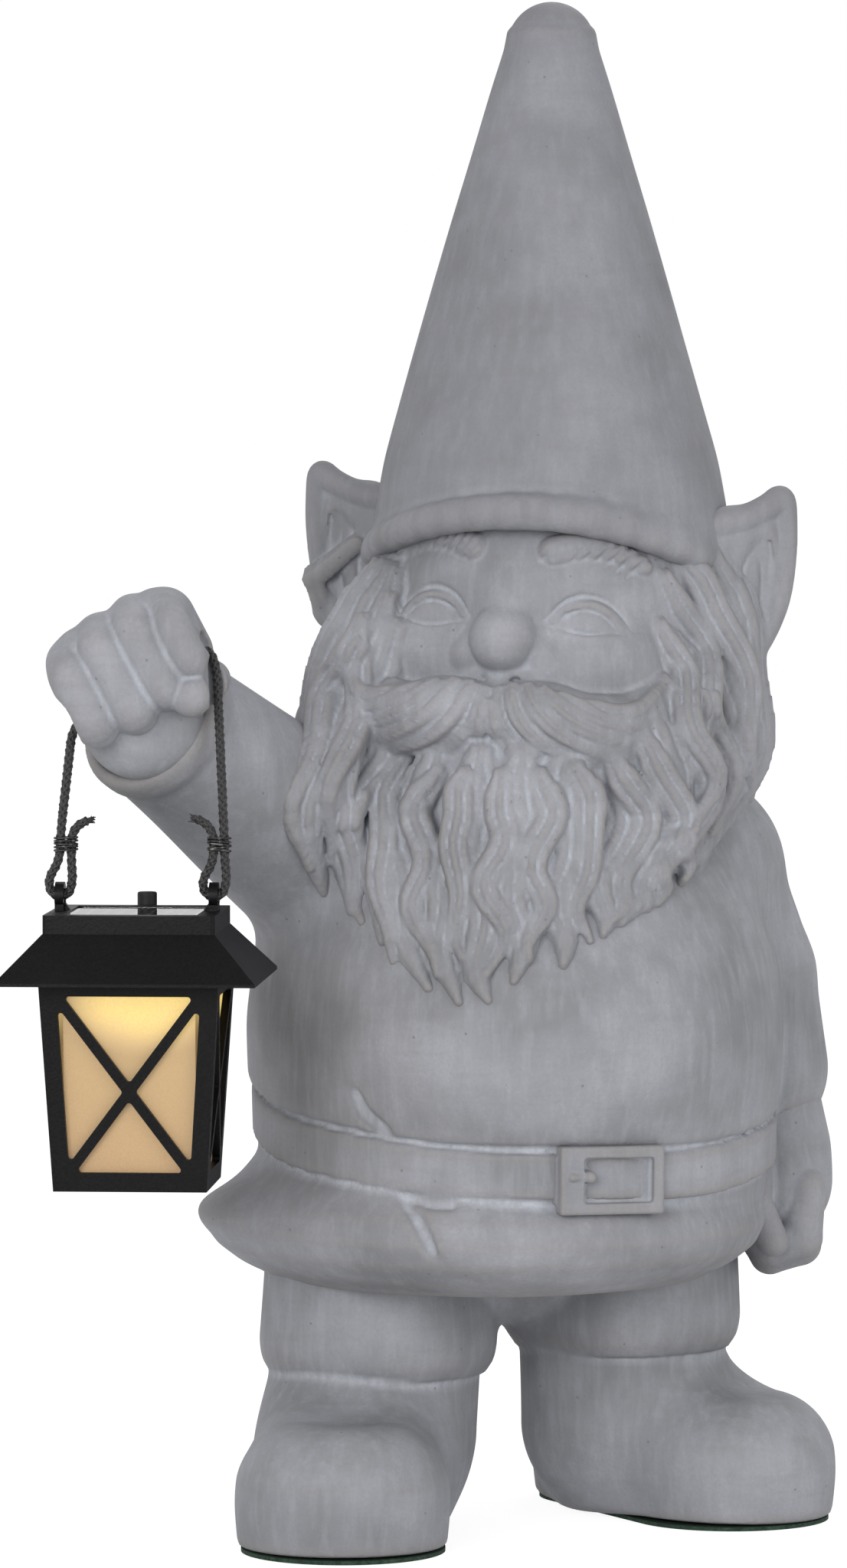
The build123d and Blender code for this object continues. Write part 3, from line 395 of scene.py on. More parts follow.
def smooth_line(points, pieces):
    """A Catmull-Rom line through the points, with some pieces for each gap."""
    p = np.array(points, float)
    p = np.vstack([2 * p[0] - p[1], p, 2 * p[-1] - p[-2]])
    made = []
    for i in range(1, len(p) - 2):
        for t in np.arange(pieces) / pieces:
            a, b, c, d = p[i - 1:i + 3]
            made.append(0.5 * (2 * b + (c - a) * t + (2 * a - 5 * b + 4 * c - d) * t * t
                               + (3 * b - a - 3 * c + d) * t ** 3))
    made.append(p[-2])
    return np.array(made)


def ball(centre, radius):
    c = np.array(centre, np.float32)
    return (lambda x, y, z: np.sqrt((x - c[0]) ** 2 + (y - c[1]) ** 2 + (z - c[2]) ** 2) - radius,
            c - radius, c + radius)


def limb(start, end, start_radius, end_radius):
    """Two balls joined by a cone."""
    a, b = np.array(start, np.float32), np.array(end, np.float32)
    run = b - a
    square = float(run @ run) + 1e-9

    def form(x, y, z):
        qx, qy, qz = x - a[0], y - a[1], z - a[2]
        h = np.clip((qx * run[0] + qy * run[1] + qz * run[2]) / square, 0, 1)
        away = np.sqrt((qx - h * run[0]) ** 2 + (qy - h * run[1]) ** 2 + (qz - h * run[2]) ** 2)
        return away - (start_radius + (end_radius - start_radius) * h)

    most = max(start_radius, end_radius)
    return form, np.minimum(a, b) - most, np.maximum(a, b) + most


def less(lump, *others):
    """A lump with other lumps taken out of it before it joins the clay."""
    form, low, high = lump

    def left_over(x, y, z):
        depth = form(x, y, z)
        for other in others:
            depth = np.maximum(depth, -other[0](x, y, z))
        return depth

    return left_over, low, high


def frame_of(forward, up=(0, 0, 1)):
    """Three axes: to the side, along forward, and up."""
    f = np.array(forward, float) / np.linalg.norm(forward)
    s = np.cross(f, up)
    s /= np.linalg.norm(s)
    return np.array([s, f, np.cross(s, f)], np.float32)


def in_axes(axes, centre, x, y, z):
    c = np.array(centre, np.float32)
    qx, qy, qz = x - c[0], y - c[1], z - c[2]
    return [qx * a[0] + qy * a[1] + qz * a[2] for a in axes]


def about(form, centre, most):
    """A form with two corners of a box round its centre."""
    c = np.array(centre)
    return form, c - most, c + most


def egg(centre, radii, axes=np.eye(3)):
    """An ellipsoid with its own axes."""
    r = np.array(radii, np.float32)

    def form(x, y, z):
        p, q, w = in_axes(axes, centre, x, y, z)
        near = np.sqrt((p / r[0]) ** 2 + (q / r[1]) ** 2 + (w / r[2]) ** 2)
        steep = np.sqrt((p / r[0] ** 2) ** 2 + (q / r[1] ** 2) ** 2 + (w / r[2] ** 2) ** 2) + 1e-6
        return near * (near - 1) / steep

    return about(form, centre, float(max(radii)))


def rounded(walls, corner):
    """The distance from a body whose walls meet in round edges."""
    outside = np.sqrt(sum(np.maximum(wall, 0) ** 2 for wall in walls))
    nearest = walls[0]
    for wall in walls[1:]:
        nearest = np.maximum(nearest, wall)
    return outside + np.minimum(nearest, 0) - corner


def slab(centre, half, corner, axes=np.eye(3)):
    """A box with round edges and its own axes."""
    def form(x, y, z):
        return rounded([np.abs(v) - h + corner for v, h in zip(in_axes(axes, centre, x, y, z), half)], corner)

    return about(form, centre, float(np.linalg.norm(half)))


def drum(centre, axis, radius, half, corner):
    """A short round bar with round edges."""
    axes = frame_of(axis, (0.3, 0.9, 0.31))

    def form(x, y, z):
        side, along, up = in_axes(axes, centre, x, y, z)
        wide = np.sqrt(side * side + up * up) - radius + corner
        return rounded((wide, np.abs(along) - half + corner), corner)

    return about(form, centre, math.hypot(radius, half))


def turned_form(line, centre, waves=()):
    """A turned solid: its radius is a smooth line through heights, with waves round it."""
    heights, radii = np.array(line, float).T
    fine = np.linspace(heights[0], heights[-1], 200)
    smooth = np.interp(fine, heights, radii)
    for _ in range(3):
        smooth = np.convolve(np.pad(smooth, 4, "edge"), np.ones(9) / 9, "valid")

    def form(x, y, z):
        qx, qy = x - centre[0], y - centre[1]
        angle = np.arctan2(qx, -qy)
        radius = np.interp(z.ravel(), fine, smooth).astype(np.float32)[None, None, :]
        for count, size, phase, low, high in waves:
            fade = np.clip((high - z) / (high - low), 0, 1)
            radius = radius + size * np.sin(count * angle + phase) * fade
        wide = (np.sqrt(qx * qx + qy * qy) - radius) * 0.92
        tall = np.maximum(z - heights[-1], heights[0] - z)
        return np.maximum(wide, tall)

    most = radii.max() + 4
    return form, np.array((centre[0] - most, centre[1] - most, heights[0])), \
        np.array((centre[0] + most, centre[1] + most, heights[-1]))


def blurred(field, reach):
    """The average of a cube of cells round each cell."""
    for axis in range(3):
        padded = np.concatenate([np.repeat(field.take([0], axis), reach + 1, axis), field,
                                 np.repeat(field.take([-1], axis), reach, axis)], axis)
        total = np.cumsum(padded, axis=axis, dtype=np.float64)
        upper = total.take(range(2 * reach + 1, total.shape[axis]), axis)
        lower = total.take(range(total.shape[axis] - 2 * reach - 1), axis)
        field = ((upper - lower) / (2 * reach + 1)).astype(np.float32)
    return field


CREASE_REACH = 2.6    # millimetres round a point that decide how hollow it is
HAND_WAVES = [(np.array(way) / 24.0, turn) for way, turn in (
    ((1.0, 0.3, 0.4), 0.0), ((-0.5, 1.1, 0.3), 1.0), ((0.6, -0.8, 0.9), 2.1), ((-1.3, 0.2, 0.7), 4.0),
    ((0.2, 1.4, -1.2), 5.2))]    # low swells that a modeller's hands leave, about 100 mm apart


def fire(clay, name, material, uneven=0.35):
    """Skin the clay with a mesh, record how hollow each point is, and place it on the figure."""
    clipped = np.clip(clay.depth, -BAND * clay.cell, BAND * clay.cell)
    for axis in range(3):
        for end in (0, -1):
            edge = [slice(None)] * 3
            edge[axis] = end
            clipped[tuple(edge)] = BAND * clay.cell
    grid = openvdb.FloatGrid(float(BAND * clay.cell))
    grid.copyFromArray(clipped)
    corners, quads = grid.convertToQuads()
    places = corners * clay.cell + clay.low
    hollow = -clay.sample(blurred(clipped, max(1, round(CREASE_REACH / clay.cell))), places)
    wave = sum(np.sin(places @ way + turn) for way, turn in HAND_WAVES)
    mesh = bpy.data.meshes.new(name)
    mesh.from_pydata((places * MM).tolist(), [], quads.tolist())
    mesh.validate()
    normals = np.zeros(len(places) * 3, np.float32)
    mesh.vertex_normals.foreach_get("vector", normals)
    moved = places + normals.reshape(-1, 3) * (uneven * wave / 2)[:, None]
    mesh.vertices.foreach_set("co", (moved * MM).astype(np.float32).ravel())
    crease = mesh.attributes.new("crease", "FLOAT", "POINT")
    crease.data.foreach_set("value", hollow.astype(np.float32))
    mesh.shade_smooth()
    mesh.materials.append(material)
    mesh.update()
    piece = placed(name, mesh)
    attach(piece, "figure")
    print(f"{name}: {2 * len(quads)} triangles, crease {hollow.min():.2f} to {hollow.max():.2f}")
    return piece


# %% [markdown]
# ## The hat
#
# A tall pointed hat with a rolled edge, cast in one with the head. It is a stack of cones that
# share a soft tip. The edge dips at the ears and rises over the brow, so the roll is a ring of
# short limbs whose height follows the angle round the head.

# %% Hat
HEAD = np.array((47.0, 2.0, 345.0))
HAT_LINE = ((362, 72.5), (380, 71.8), (398, 70.0), (420, 66.2), (469, 52.0), (517, 38.4), (565, 24.0),
            (589, 16.0))
HAT_ROLL = 3.2         # radius of the rolled edge
HAT_AXIS = (50.3, 6.0)


def brim_spot(angle, radius):
    """A place on the rolled edge: raised in front, low at the ears and the back."""
    front = math.cos(angle)
    height = 379.8 + 20.5 * max(front, 0.0) ** 1.4 - 4.5 * math.sin(angle)
    lean = 0.06 * radius * max(front, 0)
    forward = radius * (1 + 0.05 * front) * front
    return (48.0 + radius * math.sin(angle) - lean, HEAD[1] + 1.0 - forward, height)


def below_edge(x, y, z):
    """Everything under the hat's edge, which rises over the brow."""
    angle = np.arctan2(x - 48.0, -(y - HEAD[1]))
    front = np.maximum(np.cos(angle), 0)
    return z - (376.5 + 20.5 * front ** 1.4 - 4.5 * np.sin(angle))


hat = Clay((-42, -92, 362), (142, 98, 606), 1.25)
hat.add(turned_form(HAT_LINE, HAT_AXIS), 1.0)
hat.add(ball((*HAT_AXIS, 582.6), 17.2), 2.0)
hat.cut((below_edge, np.array((-42, -92, 300)), np.array((142, 98, 402))), 5.0)
roll = [brim_spot(math.radians(a), 66.6) for a in range(0, 361, 10)]
hat.rope(roll, [HAT_ROLL] * len(roll), 9.0)
hat.cut(egg((47, 2, 352), (58, 60, 56)), 3.0)
hat_piece = fire(hat, "hat", STONE, uneven=0.3)

# %% [markdown]
# ## The tunic: belly, sleeves, belt and skirt
#
# The tunic is one round belly that hangs over a belt, a skirt that flares below it, and two
# sleeves. It comes before the head because the beard lies on it. The belly's radius is a smooth
# line through a few heights; the skirt's edge waves a little, as thick cloth does.

# %% Tunic
AXIS = np.array((36.0, 0.0))
BELLY_LINE = ((130, 98.0), (150, 101.5), (163, 103.5), (176, 105.0), (200, 105.5),
              (226, 102.5), (252, 93.5), (280, 76.0), (300, 54.0), (312, 36.0))
SKIRT_LINE = ((99, 84.0), (104, 96.0), (112, 106.5), (121, 110.5), (130, 107.5), (137, 101.5),
              (144, 95.5), (154, 89.0), (164, 86.0))
TURN = math.radians(20.0)      # the buckle faces a little to the side
BELT_EDGE = 1.2                # roundness of the belt's edges


def belt_form(radius, half, thick):
    """A belt round the belly, tilted down in front, with a slightly uneven edge."""
    def form(x, y, z):
        qx, qy = x - AXIS[0], y - AXIS[1]
        angle = np.arctan2(qx, -qy)
        forward = np.maximum(-qy, -40)
        height = z - (160.0 - forward * 0.13 - qx * 0.05 + 0.8 * np.sin(3 * angle + 1)
                      + 0.4 * np.sin(7 * angle))
        away = np.sqrt(qx * qx + qy * qy) - radius - 0.5 * np.sin(4 * angle)
        return rounded((np.abs(height) - half + BELT_EDGE, np.abs(away) - thick + BELT_EDGE), BELT_EDGE)

    return form, np.array((AXIS[0] - radius - 6, -radius - 6, 128)), \
        np.array((AXIS[0] + radius + 6, radius + 6, 190))


def lantern_spot(side, depth, height):
    return np.array(from_lantern(side, depth, height)) / MM


CUFF = lantern_spot(9.0, 34.0, 317.0)
SHOULDER = np.array((-30.0, -6.0, 258.0))
SLEEVE_AXES = frame_of(CUFF - SHOULDER)
LEFT_CUFF = np.array((130.0, 32.0, 168.0))

tunic = Clay((-134, -122, 98), (178, 122, 346), 1.55)
tunic.add(turned_form(BELLY_LINE, AXIS), 2.0)
tunic.add(egg((43, -26, 196), (84, 84, 62)), 14.0)
tunic.add(egg((60, 20, 262), (82, 62, 46)), 12.0)
tunic.cut(belt_form(112.5, 10.6, 12.0), 3.5)
tunic.add(turned_form(SKIRT_LINE, AXIS + (-9.0, 0.0),
                      waves=((3, 2.2, 0.4, 116, 150), (5, 1.5, 2.0, 112, 140), (8, 0.7, 1.0, 108, 128))), 2.5)
tunic.add(egg((-62, -22, 126), (27, 34, 12)), 8.0)
tunic.add(belt_form(100.0, 9.2, 3.6), 0.8)

# the raised sleeve ends in an open cuff with a rim
tunic.add(limb(SHOULDER, CUFF + SLEEVE_AXES[1] * 22, 40.0, 28.5), 12.0)
tunic.cut(slab(CUFF + SLEEVE_AXES[1] * 45, (60, 32, 60), 2, SLEEVE_AXES), 2.0)
tunic.add(drum(CUFF + SLEEVE_AXES[1] * 8, SLEEVE_AXES[1], 31.5, 6.5, 4.5), 3.0)
tunic.cut(drum(CUFF + SLEEVE_AXES[1] * 18, SLEEVE_AXES[1], 26.5, 8.0, 3.0), 1.5)

# the hanging sleeve bends a little at the elbow
tunic.add(limb((106, 22, 262), (124, 30, 214), 33.0, 32.0), 7.0)
tunic.add(less(limb((124, 30, 214), LEFT_CUFF + (0, 0, 10), 32.0, 31.5),
               slab(LEFT_CUFF - (2, 0, 38), (60, 60, 32), 2, frame_of((0, 1, 0), (0.16, 0, 1))),
               drum(LEFT_CUFF - (0, 0, 12), (0.16, 0, 1), 26.0, 10.0, 3.0)), 2.5)


# folds: under the belly on the left, and in the skirt below the belt
def on_cloth(x, z, lift=0.0):
    hit = tunic.touch((x, -160.0, z), (0.0, 1.0, 0.0))
    return (x, hit[1] - lift, z)


for line, width, soft in (
        (((-14, 163), (-19, 166), (-24, 171), (-27, 178)), 1.1, 3.5),
        (((-9, 139), (-4, 133), (0, 126), (4, 117)), 1.0, 3.0),
        (((-8, 139), (2, 136.5), (12, 136)), 0.7, 2.5)):
    tunic.groove([on_cloth(x, z) for x, z in line], width, soft)
tunic_piece = fire(tunic, "tunic", STONE, uneven=0.5)

# %% [markdown]
# ## Face, ears, hair and beard
#
# The face is calm and round: closed full cheeks, blank almond eyes under heavy lids, a big round
# nose and a moustache that curls up at both ends. Everything is placed in the head's own axes,
# which are turned and rolled a little. Each lock of hair is a flat band with combed ridges. A lock's
# points are poked onto the clay from outside, so the hair always lies on the head or the tunic.

# %% The head's own axes
HEAD_TURN, HEAD_ROLL = math.radians(14.0), math.radians(3.5)
HEAD_SIDE = np.array((math.cos(HEAD_TURN) * math.cos(HEAD_ROLL),
                      -math.sin(HEAD_TURN) * math.cos(HEAD_ROLL), -math.sin(HEAD_ROLL)))
HEAD_FORWARD = np.array((-math.sin(HEAD_TURN), -math.cos(HEAD_TURN), 0.0))
HEAD_UP = np.cross(HEAD_FORWARD, HEAD_SIDE)
HEAD_UP = HEAD_UP if HEAD_UP[2] > 0 else -HEAD_UP
HEAD_AXES = np.array((HEAD_SIDE, HEAD_FORWARD, HEAD_UP), np.float32)


def on_head(side, forward, up):
    """A place in the head's own axes."""
    return HEAD + HEAD_SIDE * side + HEAD_FORWARD * forward + HEAD_UP * up


# %% Skull, cheeks, nose and eyes
head = Clay((-64, -128, 200), (160, 84, 424), 1.12)
head.add(egg(on_head(0, -2, 8), (66, 66, 74), HEAD_AXES), 2.0)
head.add(egg(on_head(0, 10, 20), (60, 57, 60), HEAD_AXES), 10.0)
head.add(limb((42, -34, 306), (34, -60, 256), 50.0, 36.0), 10.0)
head.add(limb((-8, -14, 378), (-27, -20, 316), 13.0, 22.0), 8.0)
head.add(limb((-27, -18, 312), (-24, -44, 262), 22.0, 19.0), 8.0)
head.add(limb((109, -2, 370), (107, -12, 312), 17.0, 22.0), 8.0)
head.add(limb((107, -12, 312), (92, -44, 266), 22.0, 18.0), 8.0)
head.add(limb(on_head(-38, 38, -32), on_head(38, 38, -32), 30.0, 30.0), 8.0)
head.add(limb(on_head(-46, 36, -22), on_head(-52, 28, -66), 23.0, 25.0), 8.0)
head.add(limb(on_head(46, 36, -22), on_head(44, 30, -64), 23.0, 26.0), 8.0)
belly_skin = turned_form([(z, r + 2.5) for z, r in BELLY_LINE], AXIS)[0]
bib = egg((31, -64, 304), (66, 56, 74))[0]
head.add((lambda x, y, z: np.maximum(belly_skin(x, y, z), bib(x, y, z)),
          np.array((-45, -118, 216)), np.array((106, -10, 312))), 6.0)
for side in (-1, 1):
    head.add(egg(on_head(side * 33, 45, 0), (23, 20, 19), HEAD_AXES), 8.0)
    head.cut(egg(on_head(side * 30, 78, 17), (17, 16, 12), HEAD_AXES), 9.0)
    head.add(ball(on_head(side * 30, 47.5, 14), 14.0), 2.0)
head.add(limb(on_head(0, 56, 36), on_head(0, 64, 20), 7.0, 7.5), 8.0)
head.add(limb(on_head(0, 62, 20), on_head(0, 69, 8), 7.0, 12.0), 5.0)
head.add(ball(on_head(0, 71, 6.5), 12.4), 3.0)
for side in (-1, 1):
    head.add(limb(on_head(side * 4, 62, 18), on_head(side * 13.5, 64, -0.5), 4.0, 7.4), 3.0)
    head.cut(ball(on_head(side * 7.0, 74, -10.5), 3.0), 1.5)


def on_face(side, up, lift=0.0):
    """A point poked onto the face from the front, lifted off the clay."""
    start = on_head(side, 130, up)
    hit = head.touch(start, -HEAD_FORWARD)
    hit = on_head(side, 40, up) if hit is None else hit
    return hit + HEAD_FORWARD * lift


def press(points, width, deep):
    """Press a line into the face at points given as (side, up)."""
    head.groove([on_face(side, up, 0.3) for side, up in smooth_line(points, 4)], width, deep)


def raise_line(points, radius, sunk, blend=0.8):
    """Lay a thin roll of clay on the face, tapering at its ends."""
    spots = [on_face(side, up, -sunk) for side, up in smooth_line(points, 4)]
    count = len(spots)
    radii = [radius * max(math.sin(math.pi * (j + 0.35) / count), 0.15) ** 0.5 for j in range(count)]
    head.rope(spots, radii, blend)


def mirrored(side, points):
    """Points of the face on one side, given for the side where they are positive."""
    return [(side * s, u) for s, u in points]


for side in (-1, 1):
    upper = mirrored(side, ((16.5, 11.5), (22, 18.5), (30, 21.5), (38, 18.8), (45.5, 10.5)))
    lower = mirrored(side, ((16.5, 11.5), (25, 9.4), (34, 8.6), (45.5, 10.5)))
    fold = mirrored(side, ((14.5, 13.5), (21.5, 21.8), (30, 24.8), (39, 22.0), (48, 12.0)))
    raise_line(upper, 1.8, 0.7, 0.6)
    raise_line(lower, 1.3, 0.5, 0.6)
    press([(s, u - 2.0) for s, u in upper], 0.7, 0.7)
    press([(s, u + 1.7) for s, u in lower], 0.6, 0.6)
    press(fold, 0.9, 1.0)

# %% Brows
for side in (-1, 1):
    line = mirrored(side, ((15.5, 41.0), (25, 43.5), (36, 42.5), (47, 37.0)))
    spots = [on_face(s, u, -1.2) for s, u in smooth_line(line, 4)]
    for i, (a, b) in enumerate(zip(spots, spots[1:])):
        head.add(limb(a, b, 5.8 - 0.15 * i, 5.7 - 0.15 * i), 0.8)
    for i in range(10):
        s, u = smooth_line(line, 3)[i]
        lean = 3.6 if side < 0 else 4.8
        press(((s - lean, u - 5.0), (s, u), (s + lean, u + 5.0)), 0.85, 0.8)

# %% Ears
for side in (-1, 1):
    tilt = math.radians(8.0 * side)
    centre = on_head(side * 79.0, -2.0, 33.0)
    turn = math.radians(28.0 * side)
    face_way = np.array((math.sin(turn) * 1.0 - 0.05, -math.cos(turn), 0.0))
    ear_axes = frame_of(face_way, (math.sin(tilt), 0, math.cos(tilt)))
    to_side, to_front, to_top = ear_axes if ear_axes[0][0] * side > 0 else ear_axes * ((-1,), (1,), (1,))

    def ear_spot(out, front, up):
        return centre + to_side * out + to_front * front + to_top * up

    plates = (to_side, to_front, to_top)
    head.add(egg(ear_spot(-1, -2, -4), (18.5, 6.0, 31), plates), 3.0)
    head.add(egg(ear_spot(-5, -2, 12), (19.0, 6.0, 17), plates), 3.0)
    head.add(limb(ear_spot(4, -2, 14), ear_spot(11, -3, 33), 9.0, 3.4), 3.0)
    helix = smooth_line([ear_spot(*p) for p in ((-16, 0, 20), (-4, 1, 24), (6, 1, 30), (12.5, 0, 33),
                                                (15.5, 1, 16), (15, 1, -6), (8, 0.5, -25), (-2, 0, -33))], 5)
    head.rope(helix, [3.4] * len(helix), 3.5)
    head.cut(egg(ear_spot(3, 6.0, -3), (8.5, 4.6, 23), plates), 2.0)
    head.add(egg(ear_spot(1, 1.0, -5), (5.0, 3.4, 17), plates), 1.0)
    head.groove([ear_spot(*p) for p in ((6.5, 3.6, 19), (9, 3.4, 4), (6, 3.4, -20))], 1.0, 0.8)
    head.groove([ear_spot(*p) for p in ((5.5, 3.6, 19), (-3, 3.4, 2), (0, 3.4, -22))], 1.0, 0.8)

# %% [markdown]
# ### The locks
#
# Each lock is given by a few points of its middle line as (X, height), as it is seen from the front.
# The locks at the back are spread evenly by angle with a small seeded sway. Broad flat locks lie
# underneath and narrow ones on top, because a sculptor combs the mass first and then adds strands.

# %% Hair and beard
sway = np.random.default_rng(11)


def poke(x, z, lift):
    """A point on the head or the tunic, poked from the front, and the way out from there."""
    hits = [clay.touch((x, -160.0, z), (0.0, 1.0, 0.0), 250.0) for clay in (head, tunic)]
    hits = [h for h in hits if h is not None]
    y = min(h[1] for h in hits) if hits else -24.0
    out = np.array(((x - 47.0) * 0.3, min(y, 0.0) - 30.0, 0.0))
    out /= np.linalg.norm(out) + 1e-6
    return np.array((x, y, z)) + out * lift, out


def comb(points, wide, thick, lift=-0.25, sway_by=1.6, ridges=3, tip=1.8, blend=1.1):
    """One lock on the front of the figure, from its root to its tip."""
    line = smooth_line(points, 4)
    count = len(line)
    phase = sway.uniform(0, 6.28)
    bend = [sway_by * math.sin(phase + 0.8 * i) * min(1.0, i / 4) for i in range(count)]
    shape = [min(1.0, 0.6 + 0.2 * i) * (1 - 0.85 * (i / (count - 1)) ** 3.0) for i in range(count)]
    spots = [poke(x + b, z, lift * thick * (0.35 + 0.65 * w)) for (x, z), b, w in zip(line, bend, shape)]
    places, outward = np.array([s[0] for s in spots]), [s[1] for s in spots]
    places[1:-1, 1] = (places[:-2, 1] + 2 * places[1:-1, 1] + places[2:, 1]) / 4
    head.lock(places, outward, [max(tip, wide * s) for s in shape], thick, ridges, 1.7, blend)


# side hair from under the brim, and the mass of the beard
UNDER = (
    ((-17, 376), (-28, 350), (-40, 320), (-45, 286), (-40, 254), 11),
    ((-12, 374), (-22, 344), (-32, 312), (-34, 278), (-27, 246), 11),
    ((-12, 352), (-19, 322), (-22, 292), (-19, 264), (-14, 236), 12),
    ((112, 380), (123, 348), (127, 318), (121, 290), (105, 264), 11),
    ((104, 374), (112, 345), (117, 314), (112, 284), (97, 257), 10),
    ((94, 350), (101, 325), (103, 298), (96, 272), (86, 248), 10),
    ((-8, 318), (-13, 292), (-10, 268), (-6, 244), (1, 219), 11),
    ((6, 308), (1, 284), (6, 260), (8, 238), (12, 214), 10),
    ((22, 306), (20, 280), (23, 256), (21, 234), (25, 215), 11),
    ((38, 306), (37, 282), (34, 260), (36, 240), (36, 222), 10),
    ((54, 308), (54, 284), (50, 264), (52, 246), (52, 228), 11),
    ((70, 312), (74, 288), (69, 268), (67, 252), (69, 239), 10),
    ((84, 324), (90, 298), (88, 276), (82, 258), (77, 243), 11),
)
for *points, wide in UNDER:
    comb(points, wide + 2.0, 8.0, lift=-0.1, sway_by=2.0, ridges=4, blend=2.0)

OVER = (
    ((-14, 366), (-22, 344), (-28, 318), (-35, 292), (-38, 266), 6.5),
    ((-24, 358), (-33, 336), (-43, 314), (-49, 290), (-46, 264), 6.5),
    ((-12, 332), (-18, 308), (-27, 284), (-28, 262), (-21, 243), 7.5),
    ((-8, 304), (-17, 284), (-14, 264), (-16, 246), (-9, 229), 6.5),
    ((6, 300), (-3, 282), (1, 262), (-3, 244), (6, 225), 6.5),
    ((16, 300), (11, 284), (15, 266), (11, 248), (17, 231), 6.5),
    ((30, 300), (30, 280), (25, 262), (30, 244), (25, 225), 6.5),
    ((44, 300), (48, 282), (42, 262), (45, 246), (40, 231), 6.5),
    ((58, 302), (66, 284), (60, 266), (60, 250), (61, 237), 6.5),
    ((72, 306), (83, 288), (80, 268), (75, 254), (74, 245), 6.5),
    ((84, 314), (96, 292), (97, 272), (91, 260), (90, 250), 6.5),
    ((92, 334), (106, 310), (108, 288), (102, 270), (99, 259), 6.5),
    ((93, 374), (104, 352), (111, 326), (118, 302), (113, 276), 7),
    ((98, 384), (115, 362), (123, 336), (128, 310), (125, 288), 7),
    ((91, 356), (98, 338), (106, 316), (111, 296), (107, 278), 6),
)
for *points, wide in OVER:
    comb(points, wide + 1.2, 5.4, lift=0.0, sway_by=2.6, ridges=3, blend=1.6)

# the back of the head: locks spread by angle
for layer, (step, wide, lift) in enumerate(((20, 13.0, -2.0), (24, 8.0, 1.0))):
    for angle in np.arange(100 + 9 * layer, 262, step):
        way = math.radians(angle + sway.uniform(-3, 3))
        places, outward = [], []
        for i in range(9):
            turn = way + math.radians(5.0) * math.sin(0.9 * i + angle)
            out = np.array((math.sin(turn), -math.cos(turn), 0.0))
            down = (0, 0, 42 - 13.5 * i)
            hit = head.touch(HEAD + out * 125 + down, -out)
            hit = HEAD + out * 60 + down if hit is None else hit
            reach_in = np.linalg.norm((hit - HEAD)[:2])
            hit = hit if reach_in > 46 else HEAD + out * 46 + down
            places.append(hit + out * lift)
            outward.append(out)
        shape = [wide * min(1, 0.6 + 0.2 * i) * (1 - (i / 8) ** 2.5) for i in range(9)]
        head.lock(places, outward, [max(1.6, s) for s in shape], 6.0, 3, 1.4, 1.2)

# %% [markdown]
# ### The moustache
#
# Two thick halves part under the nose, droop, and curl up at their ends. A solid roll gives each
# half its weight and seven strands combed along it give the grooves.

# %% Moustache
for side in (-1, 1):
    body = mirrored(side, ((5, -20), (20, -22), (37, -27), (51, -22), (59, -8)))
    spots = [on_head(s, f, u) for (s, u), f in zip(smooth_line(body, 4), smooth_line(
        [(f, 0) for f in (77, 77, 70, 58, 46)], 4)[:, 0])]
    sizes = np.interp(np.linspace(0, 1, len(spots)), (0, 0.25, 0.55, 0.85, 1), (9.5, 13.0, 14.0, 9.0, 4.0))
    head.rope(spots, sizes, 2.5)
    strands = (
        ((36, -17), (46, -19.5), (55, -17), (60, -7)),
        ((28, -14.5), (38, -20), (48, -23.5), (57, -22)),
        ((21, -12.5), (31, -20.5), (42, -26), (52, -30)),
        ((14.5, -11.5), (23, -21.5), (33, -29), (45, -35.5)),
        ((8.5, -12), (14, -23), (24, -32.5), (37, -38.5)),
        ((3.2, -13.5), (7, -25), (16, -34.5), (28, -39)),
        ((2.0, -18), (3.5, -27), (9, -34), (17, -38)))
    for number, strand in enumerate(strands):
        line = smooth_line(mirrored(side, strand), 5)
        spots = [on_face(s, u, -1.2 - 2.2 * (i / len(line)) ** 3) for i, (s, u) in enumerate(line)]
        out = [HEAD_FORWARD * 0.8 + HEAD_SIDE * s / 90 for s, u in line]
        count = len(spots)
        wide = 6.2 - 0.2 * number
        shape = [wide * min(1, 0.7 + 0.1 * i) * (1 - 0.7 * (i / (count - 1)) ** 2.2) for i in range(count)]
        head.lock(spots, out, shape, 4.6, 3, 1.3, 0.9)

head_piece = fire(head, "head_and_beard", STONE, uneven=0.2)

# %% [markdown]
# ## The raised hand
#
# Four fingers close round the cord from above, and the thumb meets them from below. The hand lies
# along the tunnel's line, so it has its own axes: along the tunnel, outwards towards the knuckles,
# and forwards. The tunnel and its two mouths are cut last.

# %% Raised hand
TUNNEL_LEFT, TUNNEL_RIGHT = lantern_spot(-23.8, 0, 325.6), lantern_spot(24.0, 0, 350.6)
GRIP = (TUNNEL_LEFT + TUNNEL_RIGHT) / 2
GRIP_ALONG = (TUNNEL_RIGHT - TUNNEL_LEFT) / np.linalg.norm(TUNNEL_RIGHT - TUNNEL_LEFT)
GRIP_FRONT = lantern_spot(0, -1, 0) - lantern_spot(0, 0, 0)
GRIP_UP = np.cross(GRIP_ALONG, -GRIP_FRONT)
GRIP_UP = GRIP_UP if GRIP_UP[2] > 0 else -GRIP_UP


def on_grip(along, front, up):
    return GRIP + GRIP_ALONG * along + GRIP_FRONT * front + GRIP_UP * up


